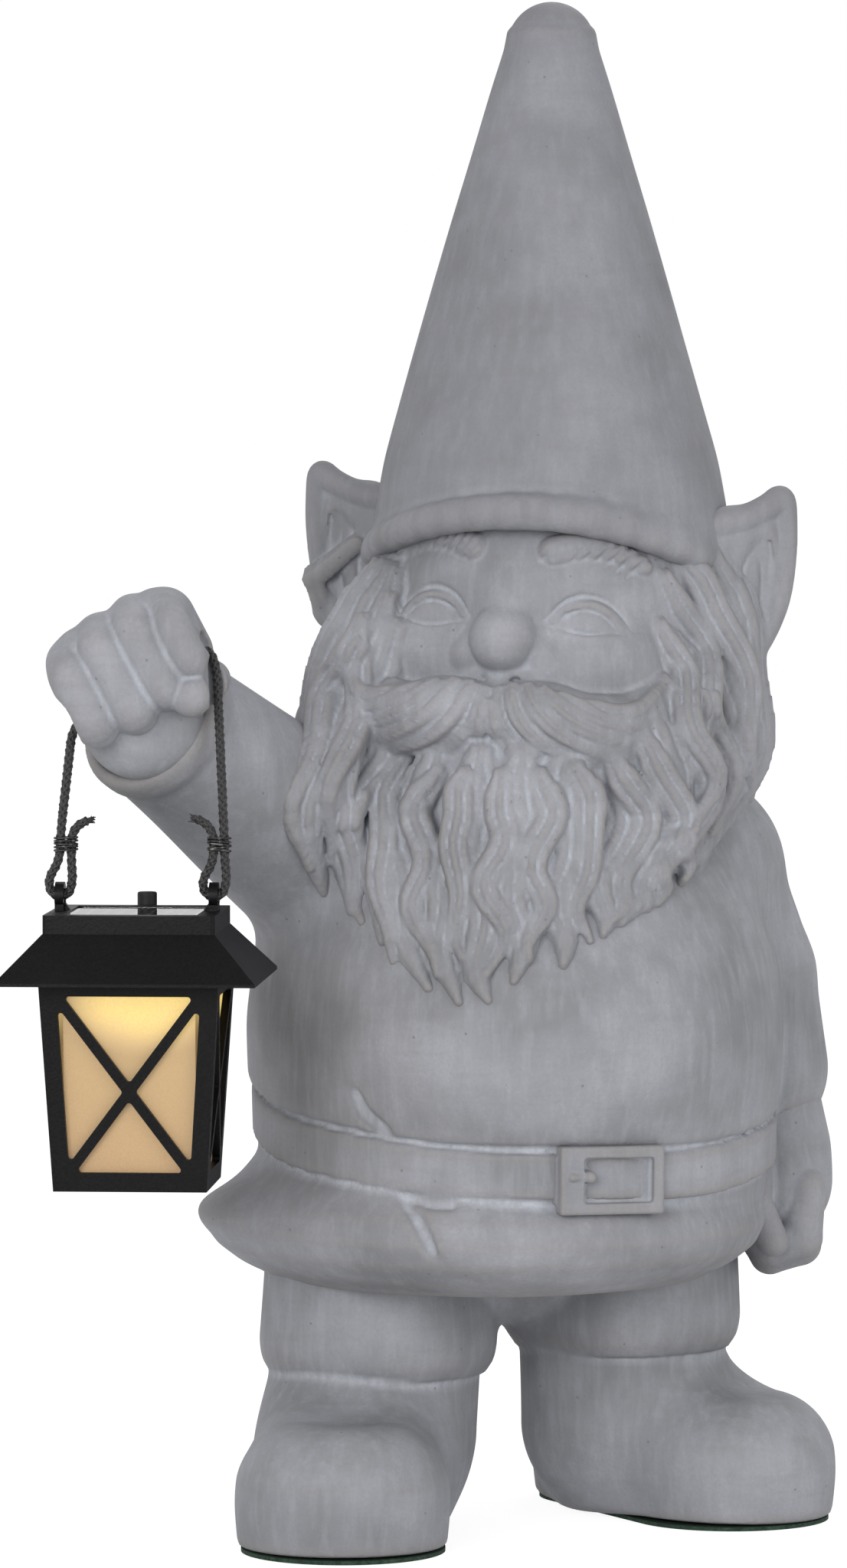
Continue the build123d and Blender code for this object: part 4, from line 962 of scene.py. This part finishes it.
GRIP_AXES = np.array((GRIP_ALONG, GRIP_FRONT, GRIP_UP), np.float32)
hand = Clay((-152, -160, 292), (-62, -66, 380), 0.85)
hand.add(slab(on_grip(1.5, -5, 8), (29.5, 17, 20.5), 14, GRIP_AXES), 2.0)
hand.add(egg(on_grip(-6, -8, -16), (23, 13.5, 21), GRIP_AXES), 6.0)
hand.add(limb(lantern_spot(-4, 18, 326), CUFF - SLEEVE_AXES[1] * 4, 20.0, 23.0), 6.0)
FINGERS = ((-20.5, 8.6, -5.0, 26.5), (-5.5, 8.9, -7.0, 30.0), (9.0, 8.6, -5.0, 30.5), (22.0, 7.8, -1.0, 26.0))
for along, thick, low, top in FINGERS:
    chain = smooth_line([on_grip(along, f, u) for f, u in (
        (-17, top - 10), (-4, top - thick), (8, top - thick - 3.5), (13.5, top - 17),
        (13.5, low), (8.5, low - 4))], 5)
    finger = hand.blank()
    for a, b in zip(chain, chain[1:]):
        form, low_corner, high_corner = limb(a, b, thick, thick)
        slices, x, y, z = hand.window(low_corner, high_corner, 6.0)
        finger.depth[slices] = np.minimum(finger.depth[slices], form(x, y, z))
    hand.merge(finger, 1.8)

# the thumb, the tunnel, its two mouths, and the channels in which the cord leaves
hand.add(limb(on_grip(24, -8, -13), on_grip(21.0, 3, -15.0), 7.6, 7.8), 3.0)
hand.add(limb(on_grip(21.0, 3, -15.0), on_grip(16.5, 12.0, -15.5), 7.8, 8.2), 0.7)
hand.cut(limb(TUNNEL_LEFT - GRIP_ALONG * 14, TUNNEL_RIGHT + GRIP_ALONG * 14, 3.1, 3.1), 0.6)
for mouth, sign in ((TUNNEL_LEFT, 1), (TUNNEL_RIGHT, -1)):
    hand.cut(limb(mouth - GRIP_ALONG * sign * 2, mouth + GRIP_ALONG * sign * 5, 4.8, 2.4), 1.2)
for top, foot, size in (((-24.6, -2, 322), (-28, -2, 296), 3.8), ((-28.0, -12, 323), (-30, -12, 296), 8.5),
                        ((30.2, -1.5, 346), (31.6, -1.5, 312), 3.6), ((32.5, -9, 342), (34, -9, 312), 6.5)):
    hand.cut(limb(lantern_spot(*top), lantern_spot(*foot), size, size), 1.2)
hand_piece = fire(hand, "raised_hand", STONE, uneven=0.2)

# %% [markdown]
# ## The hanging hand
#
# The other hand is half closed by the skirt, with its thumb to the front and four fingers curled
# behind it. It starts inside the cuff, so no gap shows there.

# %% Hanging hand
low_hand = Clay((104, -18, 84), (178, 70, 176), 0.95)
low_hand.add(limb((136, 30, 166), (140, 28, 148), 22.0, 22.0), 2.0)
low_hand.add(egg((141, 26, 134), (22, 26, 25)), 5.0)
for index, (y, low) in enumerate(((8, 108), (21, 104), (34, 105), (46, 110))):
    low_hand.add(limb((151 - 0.4 * index, y, 132), (150, y, low + 4), 8.6, 8.2), 1.0)
    low_hand.add(limb((150, y, low + 4), (138, y, low), 8.2, 7.6), 0.8)
    low_hand.add(limb((138, y, low), (130, y, low + 12), 7.6, 7.0), 0.8)
low_hand.add(limb((131, 8, 146), (130, -3, 128), 8.5, 7.4), 2.5)
low_hand.add(limb((130, -3, 128), (138, -4, 112), 7.4, 6.2), 1.0)
low_hand.groove(((122, -6, 134), (127, -12, 120), (136, -11, 105)), 1.0, 1.2)
low_hand_piece = fire(low_hand, "hanging_hand", STONE, uneven=0.3)

# %% [markdown]
# ## Trousers and boots
#
# Short wide trouser legs sit on plump boots. A boot is the shape of its sole drawn upwards with a
# generous round top, cut flat where it meets the foam pad. The legs overlap inside the skirt, where
# nobody sees them, and each trouser hem bulges over its boot.

# %% Trousers and boots
SOLE_TOP = 1.5
BOOT_LENGTH, TOE_RADIUS, HEEL_RADIUS = 75.0, 42.0, 34.0    # the length joins the two circles' middles
BOOT_ROUND = 24.0      # how round the boot's upper edge is
# each boot's toe circle, its turn in degrees, its ankle, and its side
BOOTS = ((np.array((-31.0, -76.0)), -3.0, np.array((-19.0, -8.0)), -1.0),
         (np.array((121.5, 12.0)), 35.0, np.array((79.0, 30.0)), 1.0))


def boot_form(toe, turn):
    """The sole's outline between a toe circle and a heel circle, drawn upwards."""
    way = np.array((-math.sin(math.radians(turn)), math.cos(math.radians(turn))))
    heel = toe + way * BOOT_LENGTH

    def form(x, y, z):
        qx, qy = x - toe[0], y - toe[1]
        h = np.clip((qx * way[0] + qy * way[1]) / BOOT_LENGTH, 0, 1)
        radius = TOE_RADIUS + (HEEL_RADIUS - TOE_RADIUS) * h
        run = h * BOOT_LENGTH
        plan = np.sqrt((qx - run * way[0]) ** 2 + (qy - run * way[1]) ** 2) - radius
        swell = 2.0 * np.exp(-((z - 20) / 16) ** 2) - 2.0
        top = 50.5 + 8.0 * np.clip(h * 1.6, 0, 1)
        return rounded((plan - swell + BOOT_ROUND, z - top + BOOT_ROUND), BOOT_ROUND)

    low = np.minimum(toe, heel) - 46
    high = np.maximum(toe, heel) + 46
    return form, np.array((*low, -4.0)), np.array((*high, 62.0))


feet = Clay((-82, -124, -2), (170, 112, 150), 1.6)
for toe, turn, ankle, side in BOOTS:
    foot, leg = feet.blank(), feet.blank()
    foot.add(boot_form(toe, turn), 2.0)
    foot.add(limb((*ankle, 38), (*ankle, 70), 39.0, 40.5), 22.0)
    hem = 68.0 + 3.0 * side
    leg.add(turned_form(((hem - 4, 42.0), (hem, 46.0), (hem + 8, 47.5), (hem + 22, 46.5), (hem + 40, 45.0),
                         (hem + 78, 44.0)), ankle,
                        waves=((2, 1.2, 0.5, 80, 120), (5, 0.9, 1.0 + side, 74, 110))), 1.5)
    foot.merge(leg, 1.0)
    feet.merge(foot, 2.5)
feet.add(egg((29, 10, 112), (46, 44, 26)), 6.0)
feet.add(limb((22, 8, 100), (38, 14, 100), 21.0, 21.0), 12.0)
feet.cut(slab((40, 0, SOLE_TOP - 40), (160, 160, 40), 0.1), 3.5)
feet.cut(slab((40, 0, 170), (160, 160, 40), 0.1), 1.0)
feet_piece = fire(feet, "trousers_and_boots", STONE, uneven=0.6)

# %% [markdown]
# ## The buckle
#
# A square frame with a thick bar, a strap end and a round prong stub. It is small and crisp, so it
# gets its own block of clay with finer cells, set on the belt and turned with it.

# %% Buckle
BUCKLE_WAY = np.array((math.sin(TURN), -math.cos(TURN), 0.0))
BUCKLE_AXES = frame_of(BUCKLE_WAY, (0.0, 0.04, 1.0))
BUCKLE_AT = np.array((*AXIS, 0)) + BUCKLE_WAY * 103.5 + (0, 0, 145.6)
if BUCKLE_AXES[0][0] < 0:
    BUCKLE_AXES = BUCKLE_AXES * ((-1,), (1,), (1,))


def on_buckle(side, out, up):
    return BUCKLE_AT + BUCKLE_AXES[0] * side + BUCKLE_AXES[1] * out + BUCKLE_AXES[2] * up


buckle = Clay(BUCKLE_AT - (26, 24, 20), BUCKLE_AT + (26, 22, 20), 0.55)
buckle.add(slab(BUCKLE_AT, (21.3, 3.6, 13.2), 1.4, BUCKLE_AXES), 0.5)
buckle.cut(slab(on_buckle(2.6, 3.0, 0), (14.2, 3.4, 8.6), 1.2, BUCKLE_AXES), 0.6)
buckle.add(slab(on_buckle(0, -3.4, 0), (22, 2.4, 9.6), 1.0, BUCKLE_AXES), 0.5)
buckle.add(limb(on_buckle(-9.5, 0, 1.5), on_buckle(-9.5, 3.4, 1.5), 2.8, 2.5), 0.5)
buckle.add(limb(on_buckle(-11.5, 2.2, 1.5), on_buckle(-17, 3.8, 1.5), 1.6, 1.6), 0.8)
buckle_piece = fire(buckle, "buckle", STONE, uneven=0.1)

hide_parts("statue")
for piece in (hat_piece, head_piece, hand_piece, low_hand_piece, feet_piece, buckle_piece):
    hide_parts("statue")

# %% [markdown]
# ## Floor and light
#
# A pale floor and a white surround keep attention on the figure. A big soft lamp stands in front, to
# the left and above, a weaker one at the right and a third behind. The world adds even light, so
# every crease reads without hard shadows.

# %% Floor, lamps and world
scene = bpy.context.scene
scene.view_settings.view_transform = "Standard"


def seen_by(tree, *kinds):
    """1 for rays of the named kinds, 0 for the rest, so that they can be shown a plain white."""
    rays = add_node(tree, "ShaderNodeLightPath").outputs
    seen = rays[kinds[0]]
    for kind in kinds[1:]:
        seen = calc(tree, "MAXIMUM", seen, rays[kind])
    return seen


floor_material = bpy.data.materials.new("pale_floor")
floor_tree = cleared(floor_material)
matt = add_node(floor_tree, "ShaderNodeBsdfDiffuse", {"Color": linear("#E8E8E8")})
shown_matt = add_node(floor_tree, "ShaderNodeBsdfDiffuse", {"Color": linear("#6E6E6E")})
glow = add_node(floor_tree, "ShaderNodeEmission", {"Strength": 0.92})
both = add_node(floor_tree, "ShaderNodeAddShader", {0: shown_matt.outputs[0], 1: glow.outputs[0]})
seen = seen_by(floor_tree, "Is Camera Ray", "Is Glossy Ray", "Is Transmission Ray")
shown = add_node(floor_tree, "ShaderNodeMixShader", {0: seen, 1: matt.outputs[0], 2: both.outputs[0]})
add_node(floor_tree, "ShaderNodeOutputMaterial", {"Surface": shown.outputs[0]})
floor_mesh = bpy.data.meshes.new("floor")
floor_mesh.from_pydata([(-6, -6, 0), (6, -6, 0), (6, 6, 0), (-6, 6, 0)], [], [(0, 1, 2, 3)])
floor_mesh.materials.append(floor_material)
floor = placed("floor", floor_mesh)

world = bpy.data.worlds.new("studio")
scene.world = world
world_tree = cleared(world)
surround = add_node(world_tree, "ShaderNodeBackground", {"Color": (1, 1, 1, 1), "Strength": 1.0})
fill = add_node(world_tree, "ShaderNodeBackground", {"Color": (1, 1, 1, 1), "Strength": 0.8})
seen = seen_by(world_tree, "Is Camera Ray", "Is Transmission Ray")
shown = add_node(world_tree, "ShaderNodeMixShader", {0: seen, 1: fill.outputs[0], 2: surround.outputs[0]})
add_node(world_tree, "ShaderNodeOutputWorld", {"Surface": shown.outputs[0]})


def soft_lamp(name, place, aim, size, power):
    lamp = bpy.data.lights.new(name, "AREA")
    lamp.shape = "DISK"
    lamp.size = size
    lamp.energy = power
    made = placed(name, lamp)
    made.location = place
    made.rotation_euler = (Vector(place) - Vector(aim)).to_track_quat("Z", "Y").to_euler()


soft_lamp("key_lamp", (-0.9, -2.4, 1.0), (0, 0, 0.25), 1.5, 38.0)
soft_lamp("fill_lamp", (2.0, -1.7, 0.6), (0, 0, 0.2), 1.5, 17.0)
soft_lamp("rim_lamp", (0.4, 1.8, 2.0), (0, 0, 0.4), 1.2, 14.0)

# %% [markdown]
# ## The plait of the cord
#
# A round braid has strands that wind both ways and pass over and under each other. A strand's
# distance from the middle swells and sinks with four times its angle, one family against the
# other, and that makes an even over-and-under weave. Geometry Nodes copies the cord's line eight
# times and moves each copy, so the plait follows the cord round every bend.


# %% Geometry Nodes helpers
def new_tree(name, *inputs):
    """An empty Geometry Nodes tree with named inputs after its geometry."""
    tree = bpy.data.node_groups.new(name, "GeometryNodeTree")
    tree.interface.new_socket("Geometry", in_out="INPUT", socket_type="NodeSocketGeometry")
    tree.interface.new_socket("Geometry", in_out="OUTPUT", socket_type="NodeSocketGeometry")
    for label, kind in inputs:
        tree.interface.new_socket(label, in_out="INPUT", socket_type="NodeSocket" + kind)
    return tree, add_node(tree, "NodeGroupInput").outputs


def scaled(tree, vector, amount):
    return add_node(tree, "ShaderNodeVectorMath", {0: vector, "Scale": amount}, operation="SCALE").outputs[0]


def close_tree(tree, geometry, material):
    """Realise the instances and give everything its material."""
    real = add_node(tree, "GeometryNodeRealizeInstances", {0: geometry})
    done = add_node(tree, "GeometryNodeSetMaterial", {0: real.outputs[0], "Material": material})
    add_node(tree, "NodeGroupOutput", {0: done.outputs[0]})


def grown(name, mesh, tree, values, body):
    """Run a tree on a mesh, keep the result as a plain mesh, and let it ride on its body."""
    source = placed(name + "_source", mesh)
    modifier = source.modifiers.new("grow", "NODES")
    modifier.node_group = tree
    for item in tree.interface.items_tree:
        if item.in_out == "INPUT" and item.name in values:
            modifier[item.identifier] = values[item.name]
    result = bpy.data.meshes.new_from_object(source.evaluated_get(bpy.context.evaluated_depsgraph_get()))
    bpy.data.objects.remove(source)
    result.name = name
    made = placed(name, result)
    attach(made, body)
    print(f"{name}: {len(result.polygons)} faces")
    return made


def line_mesh(name, points, closed=False):
    mesh = bpy.data.meshes.new(name)
    count = len(points)
    edges = [(i, i + 1) for i in range(count - 1)] + ([(count - 1, 0)] if closed else [])
    mesh.from_pydata([tuple(p) for p in points], edges, [])
    return mesh


# %% [markdown]
# Black nylon has a soft sheen along each strand and stays dark between strands. The wire that ties
# the loops is lacquered steel that shines where it is worn.


# %% Cord and wire materials
def black_nylon():
    material, tree, shader, place = new_material("braided_nylon_black")
    fibres = noise(tree, place, 0.0009, detail=2.0)
    feed(tree, shader, {"Base Color": mixed(tree, fibres, "#0E0D0E", "#2A2728"), "Roughness": 0.5,
                        "Sheen Weight": 0.25, "Sheen Roughness": 0.4})
    bump(tree, shader, fibres, 0.0003, 0.5)
    return material


def lacquered_wire():
    material, tree, shader, place = new_material("lacquered_wire_worn")
    worn = remap(tree, noise(tree, place, 0.0021, detail=2.0), 0.52, 0.62)
    feed(tree, shader, {"Base Color": mixed(tree, worn, "#111112", "#6A6966"), "Roughness": 0.4,
                        "Metallic": remap(tree, worn, 0, 1, 0.0, 0.7)})
    return material


NYLON, WIRE = black_nylon(), lacquered_wire()

# %% Plait
STRAND_RADIUS = 0.68 * MM
tree, given = new_tree("plait", ("Middle", "Float"), ("Swell", "Float"), ("Strand", "Float"),
                             ("Turns per metre", "Float"), ("Material", "Material"))
path_curve = add_node(tree, "GeometryNodeMeshToCurve", {0: given["Geometry"]})
even = add_node(tree, "GeometryNodeResampleCurve", {"Curve": path_curve.outputs[0], "Length": 0.0007},
                mode="LENGTH")
copies = add_node(tree, "GeometryNodeDuplicateElements", {0: even.outputs[0], "Amount": 8}, domain="SPLINE")
index = copies.outputs["Duplicate Index"]
family = calc(tree, "MODULO", index, 2.0)
sign = calc(tree, "MULTIPLY_ADD", family, -2.0, 1.0)
start = calc(tree, "MULTIPLY", calc(tree, "FLOOR", calc(tree, "DIVIDE", index, 2.0)), math.pi / 2)
far_along = add_node(tree, "GeometryNodeSplineParameter").outputs["Length"]
wound = calc(tree, "MULTIPLY", calc(tree, "MULTIPLY", far_along, given["Turns per metre"]), 2 * math.pi)
angle = calc(tree, "MULTIPLY_ADD", wound, sign, start)
over = calc(tree, "MULTIPLY", calc(tree, "COSINE", calc(tree, "MULTIPLY", angle, 4.0)), sign)
radius = calc(tree, "MULTIPLY_ADD", over, given["Swell"], given["Middle"])
normal = add_node(tree, "GeometryNodeInputNormal").outputs["Normal"]
tangent = add_node(tree, "GeometryNodeInputTangent").outputs[0]
across = vector(tree, "CROSS_PRODUCT", tangent, normal)
one = scaled(tree, normal, calc(tree, "MULTIPLY", calc(tree, "COSINE", angle), radius))
two = scaled(tree, across, calc(tree, "MULTIPLY", calc(tree, "SINE", angle), radius))
shift = vector(tree, "ADD", one, two)
wound_strands = add_node(tree, "GeometryNodeSetPosition", {"Geometry": copies.outputs[0], "Offset": shift})
profile = add_node(tree, "GeometryNodeCurvePrimitiveCircle", {"Resolution": 6, "Radius": given["Strand"]})
strands = add_node(tree, "GeometryNodeCurveToMesh",
                   {"Curve": wound_strands.outputs[0], "Profile Curve": profile.outputs[0],
                    "Fill Caps": True})
core_profile = add_node(tree, "GeometryNodeCurvePrimitiveCircle", {"Resolution": 10, "Radius": 0.0011})
core = add_node(tree, "GeometryNodeCurveToMesh",
                {"Curve": even.outputs[0], "Profile Curve": core_profile.outputs[0], "Fill Caps": True})
whole = add_node(tree, "GeometryNodeJoinGeometry")
for part in (core, strands):
    tree.links.new(part.outputs[0], whole.inputs[0])
smooth = add_node(tree, "GeometryNodeSetShadeSmooth", {"Geometry": whole.outputs[0]})
close_tree(tree, smooth.outputs[0], given["Material"])

cord = grown("hanging_cord_plait", line_mesh("cord_path", cord_path), tree,
             {"Middle": 1.05 * MM, "Swell": 0.24 * MM, "Strand": STRAND_RADIUS, "Turns per metre": 84.0,
              "Material": NYLON}, "cord")
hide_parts("hanging_cord")

# %% [markdown]
# ## Whippings and frayed ends
#
# A few turns of wire bind each tail to the cord above its eye. Each turn is one ring of wire round
# both strands, copied up a short line and tipped a little by a seeded random angle, because wire
# wound by hand never lies quite level. The cut ends of the cord open into a small brush.

# %% Whippings
tree, given = new_tree("whipping_turns", ("Turns", "Int"), ("Height", "Float"), ("Tip", "Float"),
                             ("Wire", "Float"), ("Seed", "Int"), ("Material", "Material"))
step = calc(tree, "DIVIDE", given["Height"], calc(tree, "SUBTRACT", given["Turns"], 1.0))
rise = add_node(tree, "ShaderNodeCombineXYZ", {"Z": step})
low = add_node(tree, "ShaderNodeCombineXYZ", {"Z": calc(tree, "MULTIPLY", given["Height"], -0.5)})
stack = add_node(tree, "GeometryNodeMeshLine", {"Count": given["Turns"], "Start Location": low.outputs[0],
                                                "Offset": rise.outputs[0]})
ring = add_node(tree, "GeometryNodeMeshToCurve", {0: given["Geometry"]})
wire_profile = add_node(tree, "GeometryNodeCurvePrimitiveCircle", {"Resolution": 8, "Radius": given["Wire"]})
hoop = add_node(tree, "GeometryNodeCurveToMesh", {"Curve": ring.outputs[0],
                                                  "Profile Curve": wire_profile.outputs[0]})
most = add_node(tree, "ShaderNodeCombineXYZ", {"X": given["Tip"], "Y": given["Tip"]})
least = scaled(tree, most.outputs[0], -1.0)
tip = add_node(tree, "FunctionNodeRandomValue", {0: least, 1: most.outputs[0], "Seed": given["Seed"]},
               data_type="FLOAT_VECTOR")
turns = add_node(tree, "GeometryNodeInstanceOnPoints",
                 {"Points": stack.outputs[0], "Instance": hoop.outputs[0], "Rotation": tip.outputs[0]})
smooth = add_node(tree, "GeometryNodeSetShadeSmooth", {"Geometry": turns.outputs[0]})
close_tree(tree, smooth.outputs[0], given["Material"])

LEG_HALF = 2.05 * MM
WIRE_RADIUS = 0.42 * MM
WHIPPING_HEIGHT = 275.5    # of a whipping's middle, in millimetres
loop = []
for step_angle in range(0, 360, 15):
    a = math.radians(step_angle)
    reach = CORD_DIAMETER / 2 + WIRE_RADIUS
    loop.append((math.copysign(LEG_HALF, math.cos(a)) + reach * math.cos(a), reach * math.sin(a), 0))
for name, side, seed in (("whipping_left", -27.1, 3), ("whipping_right", 31.2, 8)):
    made = grown(name + "_turns", line_mesh("loop", loop, closed=True), tree,
                 {"Turns": 5, "Height": 4.6 * MM, "Tip": math.radians(7), "Wire": WIRE_RADIUS, "Seed": seed,
                  "Material": WIRE}, "cord")
    turn = Matrix.Rotation(LANTERN_TURN, 4, "Z")
    made.data.transform(Matrix.Translation(from_lantern(side, 0, WHIPPING_HEIGHT)) @ turn)
    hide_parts(name)


# %% Frayed ends
def brush(name, tip, way, count, seed):
    """A brush of thin curved fibres that opens from the cord's cut end."""
    chance = np.random.default_rng(seed)
    corners, faces = [], []
    for _ in range(count):
        spread = chance.uniform(-1, 1, 3)
        root = Vector(tip) + Vector(chance.uniform(-0.9, 0.9, 3)) * MM - way * 1.2 * MM
        bend = (way + Vector(spread) * 0.45).normalized()
        spots = [root, root + (way * 0.6 + bend * 0.4) * 1.8 * MM,
                 root + (way * 0.3 + bend * 0.7) * chance.uniform(3.0, 4.2) * MM]
        side = way.orthogonal().normalized()
        for spot, thick in zip(spots, (0.42, 0.36, 0.2)):
            for i in range(5):
                corners.append(spot + (Matrix.Rotation(i * 2 * math.pi / 5, 3, way) @ side) * thick * MM)
        first = len(corners) - 15
        for level in (0, 5):
            faces += [(first + level + i, first + level + (i + 1) % 5, first + level + 5 + (i + 1) % 5,
                       first + level + 5 + i) for i in range(5)]
        faces += [tuple(first + i for i in (4, 3, 2, 1, 0)), tuple(first + 10 + i for i in range(5))]
    mesh = bpy.data.meshes.new(name)
    mesh.from_pydata(corners, [], faces)
    mesh.materials.append(NYLON)
    mesh.shade_smooth()
    made = placed(name, mesh)
    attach(made, "cord")
    print(f"{name}: {count} fibres")
    return made


def end_way(first, second):
    return (from_lantern(*second) - from_lantern(*first)).normalized()


left_brush = brush("frayed_end_left", cord_path[0], end_way((-24.9, 0, 282.4), (-19.0, 0, 284.2)), 26, 5)
right_brush = brush("frayed_end_right", cord_path[-1], end_way((29.0, 0, 282.8), (23.0, 0, 284.9)), 26, 6)

# %% [markdown]
# ## The lantern's finishes
#
# The lantern's parts keep their CAD meshes. Its shell is black ABS with a fine moulded grain that
# catches a soft highlight; the panes are frosted acrylic, lit from above by one warm light.


# %% Lantern materials
def dress(material, *nodes):
    """Give CAD nodes their finish."""
    for name in nodes:
        for place in bpy.data.objects[name].material_slots:
            place.material = material
    print(material.name, "on", ", ".join(nodes))


def moulded_plastic(name, dark, light, rough, grain, deep, gloss=0.35):
    """Injection-moulded plastic: a fine even grain breaks the gloss into a satin one."""
    material, tree, shader, place = new_material(name)
    grains = noise(tree, place, grain, detail=2.0, rough=0.6)
    dust = noise(tree, place, 0.02, detail=3.0)
    colour = mixed(tree, remap(tree, grains, 0.35, 0.7), dark, light)
    colour = mixed(tree, remap(tree, dust, 0.55, 0.8, 0.0, 0.15), colour, "#1C1C1D")
    feed(tree, shader, {"Base Color": colour, "Roughness": rough, "Specular IOR Level": gloss})
    bump(tree, shader, grains, deep, 0.6)
    return material


ABS_GRAIN = 0.0011    # the real grain is about 0.3 mm; drawn coarser so that it shows
for *finish, nodes in (
        ("black_abs_grained", "#050506", "#0E0E10", 0.42, ABS_GRAIN, 0.0002, 0.13,
         "lantern_roof lower_cover lantern_frame base_plate battery_door"),
        ("black_button_rubber", "#101011", "#1B1B1C", 0.6, 0.0008, 0.0001, "button_cap"),
        ("silicone_seal_black", "#0F0F10", "#191919", 0.65, 0.0015, 0.0001, "panel_seal"),
        ("switch_nylon_black", "#161617", "#232324", 0.5, 0.0007, 0.0001, "push_switch switch_plunger"),
        ("sole_foam_green", "#16281E", "#2C4435", 0.9, 0.0018, 0.0004, "sole_pad_right sole_pad_left"),
        ("battery_sleeve_green", "#1F5A2E", "#2A6C3A", 0.3, 0.004, 0.00002, "battery")):
    dress(moulded_plastic(*finish), *nodes.split())


def frosted_acrylic():
    """Sand-coloured frosted sheet; the light above makes a warm patch that fades downwards."""
    material, tree, shader, place = new_material("frosted_acrylic_lit")
    lamp = from_lantern(6.0, -2.2, 221.5)
    squeezed = vector(tree, "MULTIPLY", vector(tree, "SUBTRACT", place, lamp), (1.0, 1.0, 1.5))
    away = vector(tree, "LENGTH", squeezed, output="Value")
    near = add_node(tree, "ShaderNodeMapRange", {"Value": away, "From Min": 0.047, "From Max": 0.030},
                    interpolation_type="SMOOTHSTEP").outputs[0]
    low = remap(tree, away, 0.05, 0.1)
    frost = noise(tree, place, 0.0009, detail=2.0, rough=0.7)
    blotch = noise(tree, place, 0.014, detail=2.0)
    glow = mixed(tree, low, "#E6CB95", "#C3A183")
    glow = mixed(tree, near, glow, "#FFE47A")
    glow = mixed(tree, remap(tree, blotch, 0.35, 0.7, 0.0, 0.25), glow, "#E0BE92")
    glow = mixed(tree, remap(tree, frost, 0.3, 0.7, 0.0, 0.35), glow, "#B08E66")
    feed(tree, shader, {"Base Color": mixed(tree, frost, "#8F7450", "#A98B62"), "Roughness": 0.5,
                        "Emission Color": glow, "Emission Strength": remap(tree, near, 0.0, 1.0, 0.2, 0.74)})
    bump(tree, shader, frost, 0.0002, 0.5)
    return material


dress(frosted_acrylic(), "pane_front", "pane_right", "pane_back", "pane_left")


def metal(name, colour, tint, rough, grain):
    """Plated or drawn metal with a faint uneven tone."""
    material, tree, shader, place = new_material(name)
    uneven = noise(tree, place, grain, detail=2.0)
    feed(tree, shader, {"Base Color": mixed(tree, uneven, colour, tint), "Metallic": 1.0,
                        "Roughness": remap(tree, uneven, 0.3, 0.7, rough - 0.06, rough + 0.08)})
    return material


for *finish, nodes in (("nickel_plate", "#B9B6AE", "#CFCCC4", 0.25, 0.003, "spring_contact plate_contact"),
                       ("zinc_plated_screw", "#9A9C9E", "#B4B6B8", 0.35, 0.002, "cover_screws base_screws"),
                       ("tinned_copper", "#B98A5E", "#C8B59A", 0.3, 0.002, "panel_leads")):
    dress(metal(*finish), *nodes.split())

# %% Solar panel materials
CELL_PITCH = 2.0 * MM    # spacing of the thin silver lines printed across a cell


def silicon_cell():
    """Dark blue silicon crossed by thin printed silver lines."""
    material, tree, shader, place = new_material("silicon_cell_printed")
    turned = add_node(tree, "ShaderNodeMapping", {"Vector": place, "Rotation": (0, 0, -LANTERN_TURN)})
    along = add_node(tree, "ShaderNodeSeparateXYZ", {0: turned.outputs[0]}).outputs["Y"]
    saw = calc(tree, "FRACT", calc(tree, "DIVIDE", along, CELL_PITCH))
    line = remap(tree, calc(tree, "ABSOLUTE", calc(tree, "SUBTRACT", saw, 0.5)), 0.07, 0.1, 1.0, 0.0)
    crystal = noise(tree, place, 0.004, detail=1.0)
    colour = mixed(tree, crystal, "#0B1228", "#16203C")
    feed(tree, shader, {"Base Color": mixed(tree, line, colour, "#9FA4AC"), "Roughness": 0.3})
    return material


def board_laminate():
    """Green solder mask over glass cloth; the cloth's weave shows faintly."""
    material, tree, shader, place = new_material("board_laminate_green")
    weave = add_node(tree, "ShaderNodeTexBrick", {"Vector": place, "Color1": linear("#0F4A2A"),
                                                  "Color2": linear("#125431"), "Mortar": linear("#0B3D22"),
                                                  "Scale": 1 / 0.004})
    feed(tree, shader, {"Base Color": weave.outputs["Color"], "Roughness": 0.35})
    return material


def clear_cover(name, colour, rough):
    """Clear glass or epoxy with faint dust on it."""
    material, tree, shader, place = new_material(name)
    dust = noise(tree, place, 0.005, detail=3.0)
    feed(tree, shader, {"Base Color": linear(colour), "Transmission Weight": 1.0, "IOR": 1.5,
                        "Roughness": remap(tree, dust, 0.4, 0.8, rough, rough + 0.08)})
    return material


dress(silicon_cell(), "solar_cells")
dress(board_laminate(), "panel_board", "circuit_board")
dress(clear_cover("panel_cover_glass", "#F2F5F7", 0.03), "panel_glass")
dress(clear_cover("led_epoxy_warm", "#FFE6B0", 0.1), "led")

# %% Finish
bpy.context.view_layer.update()
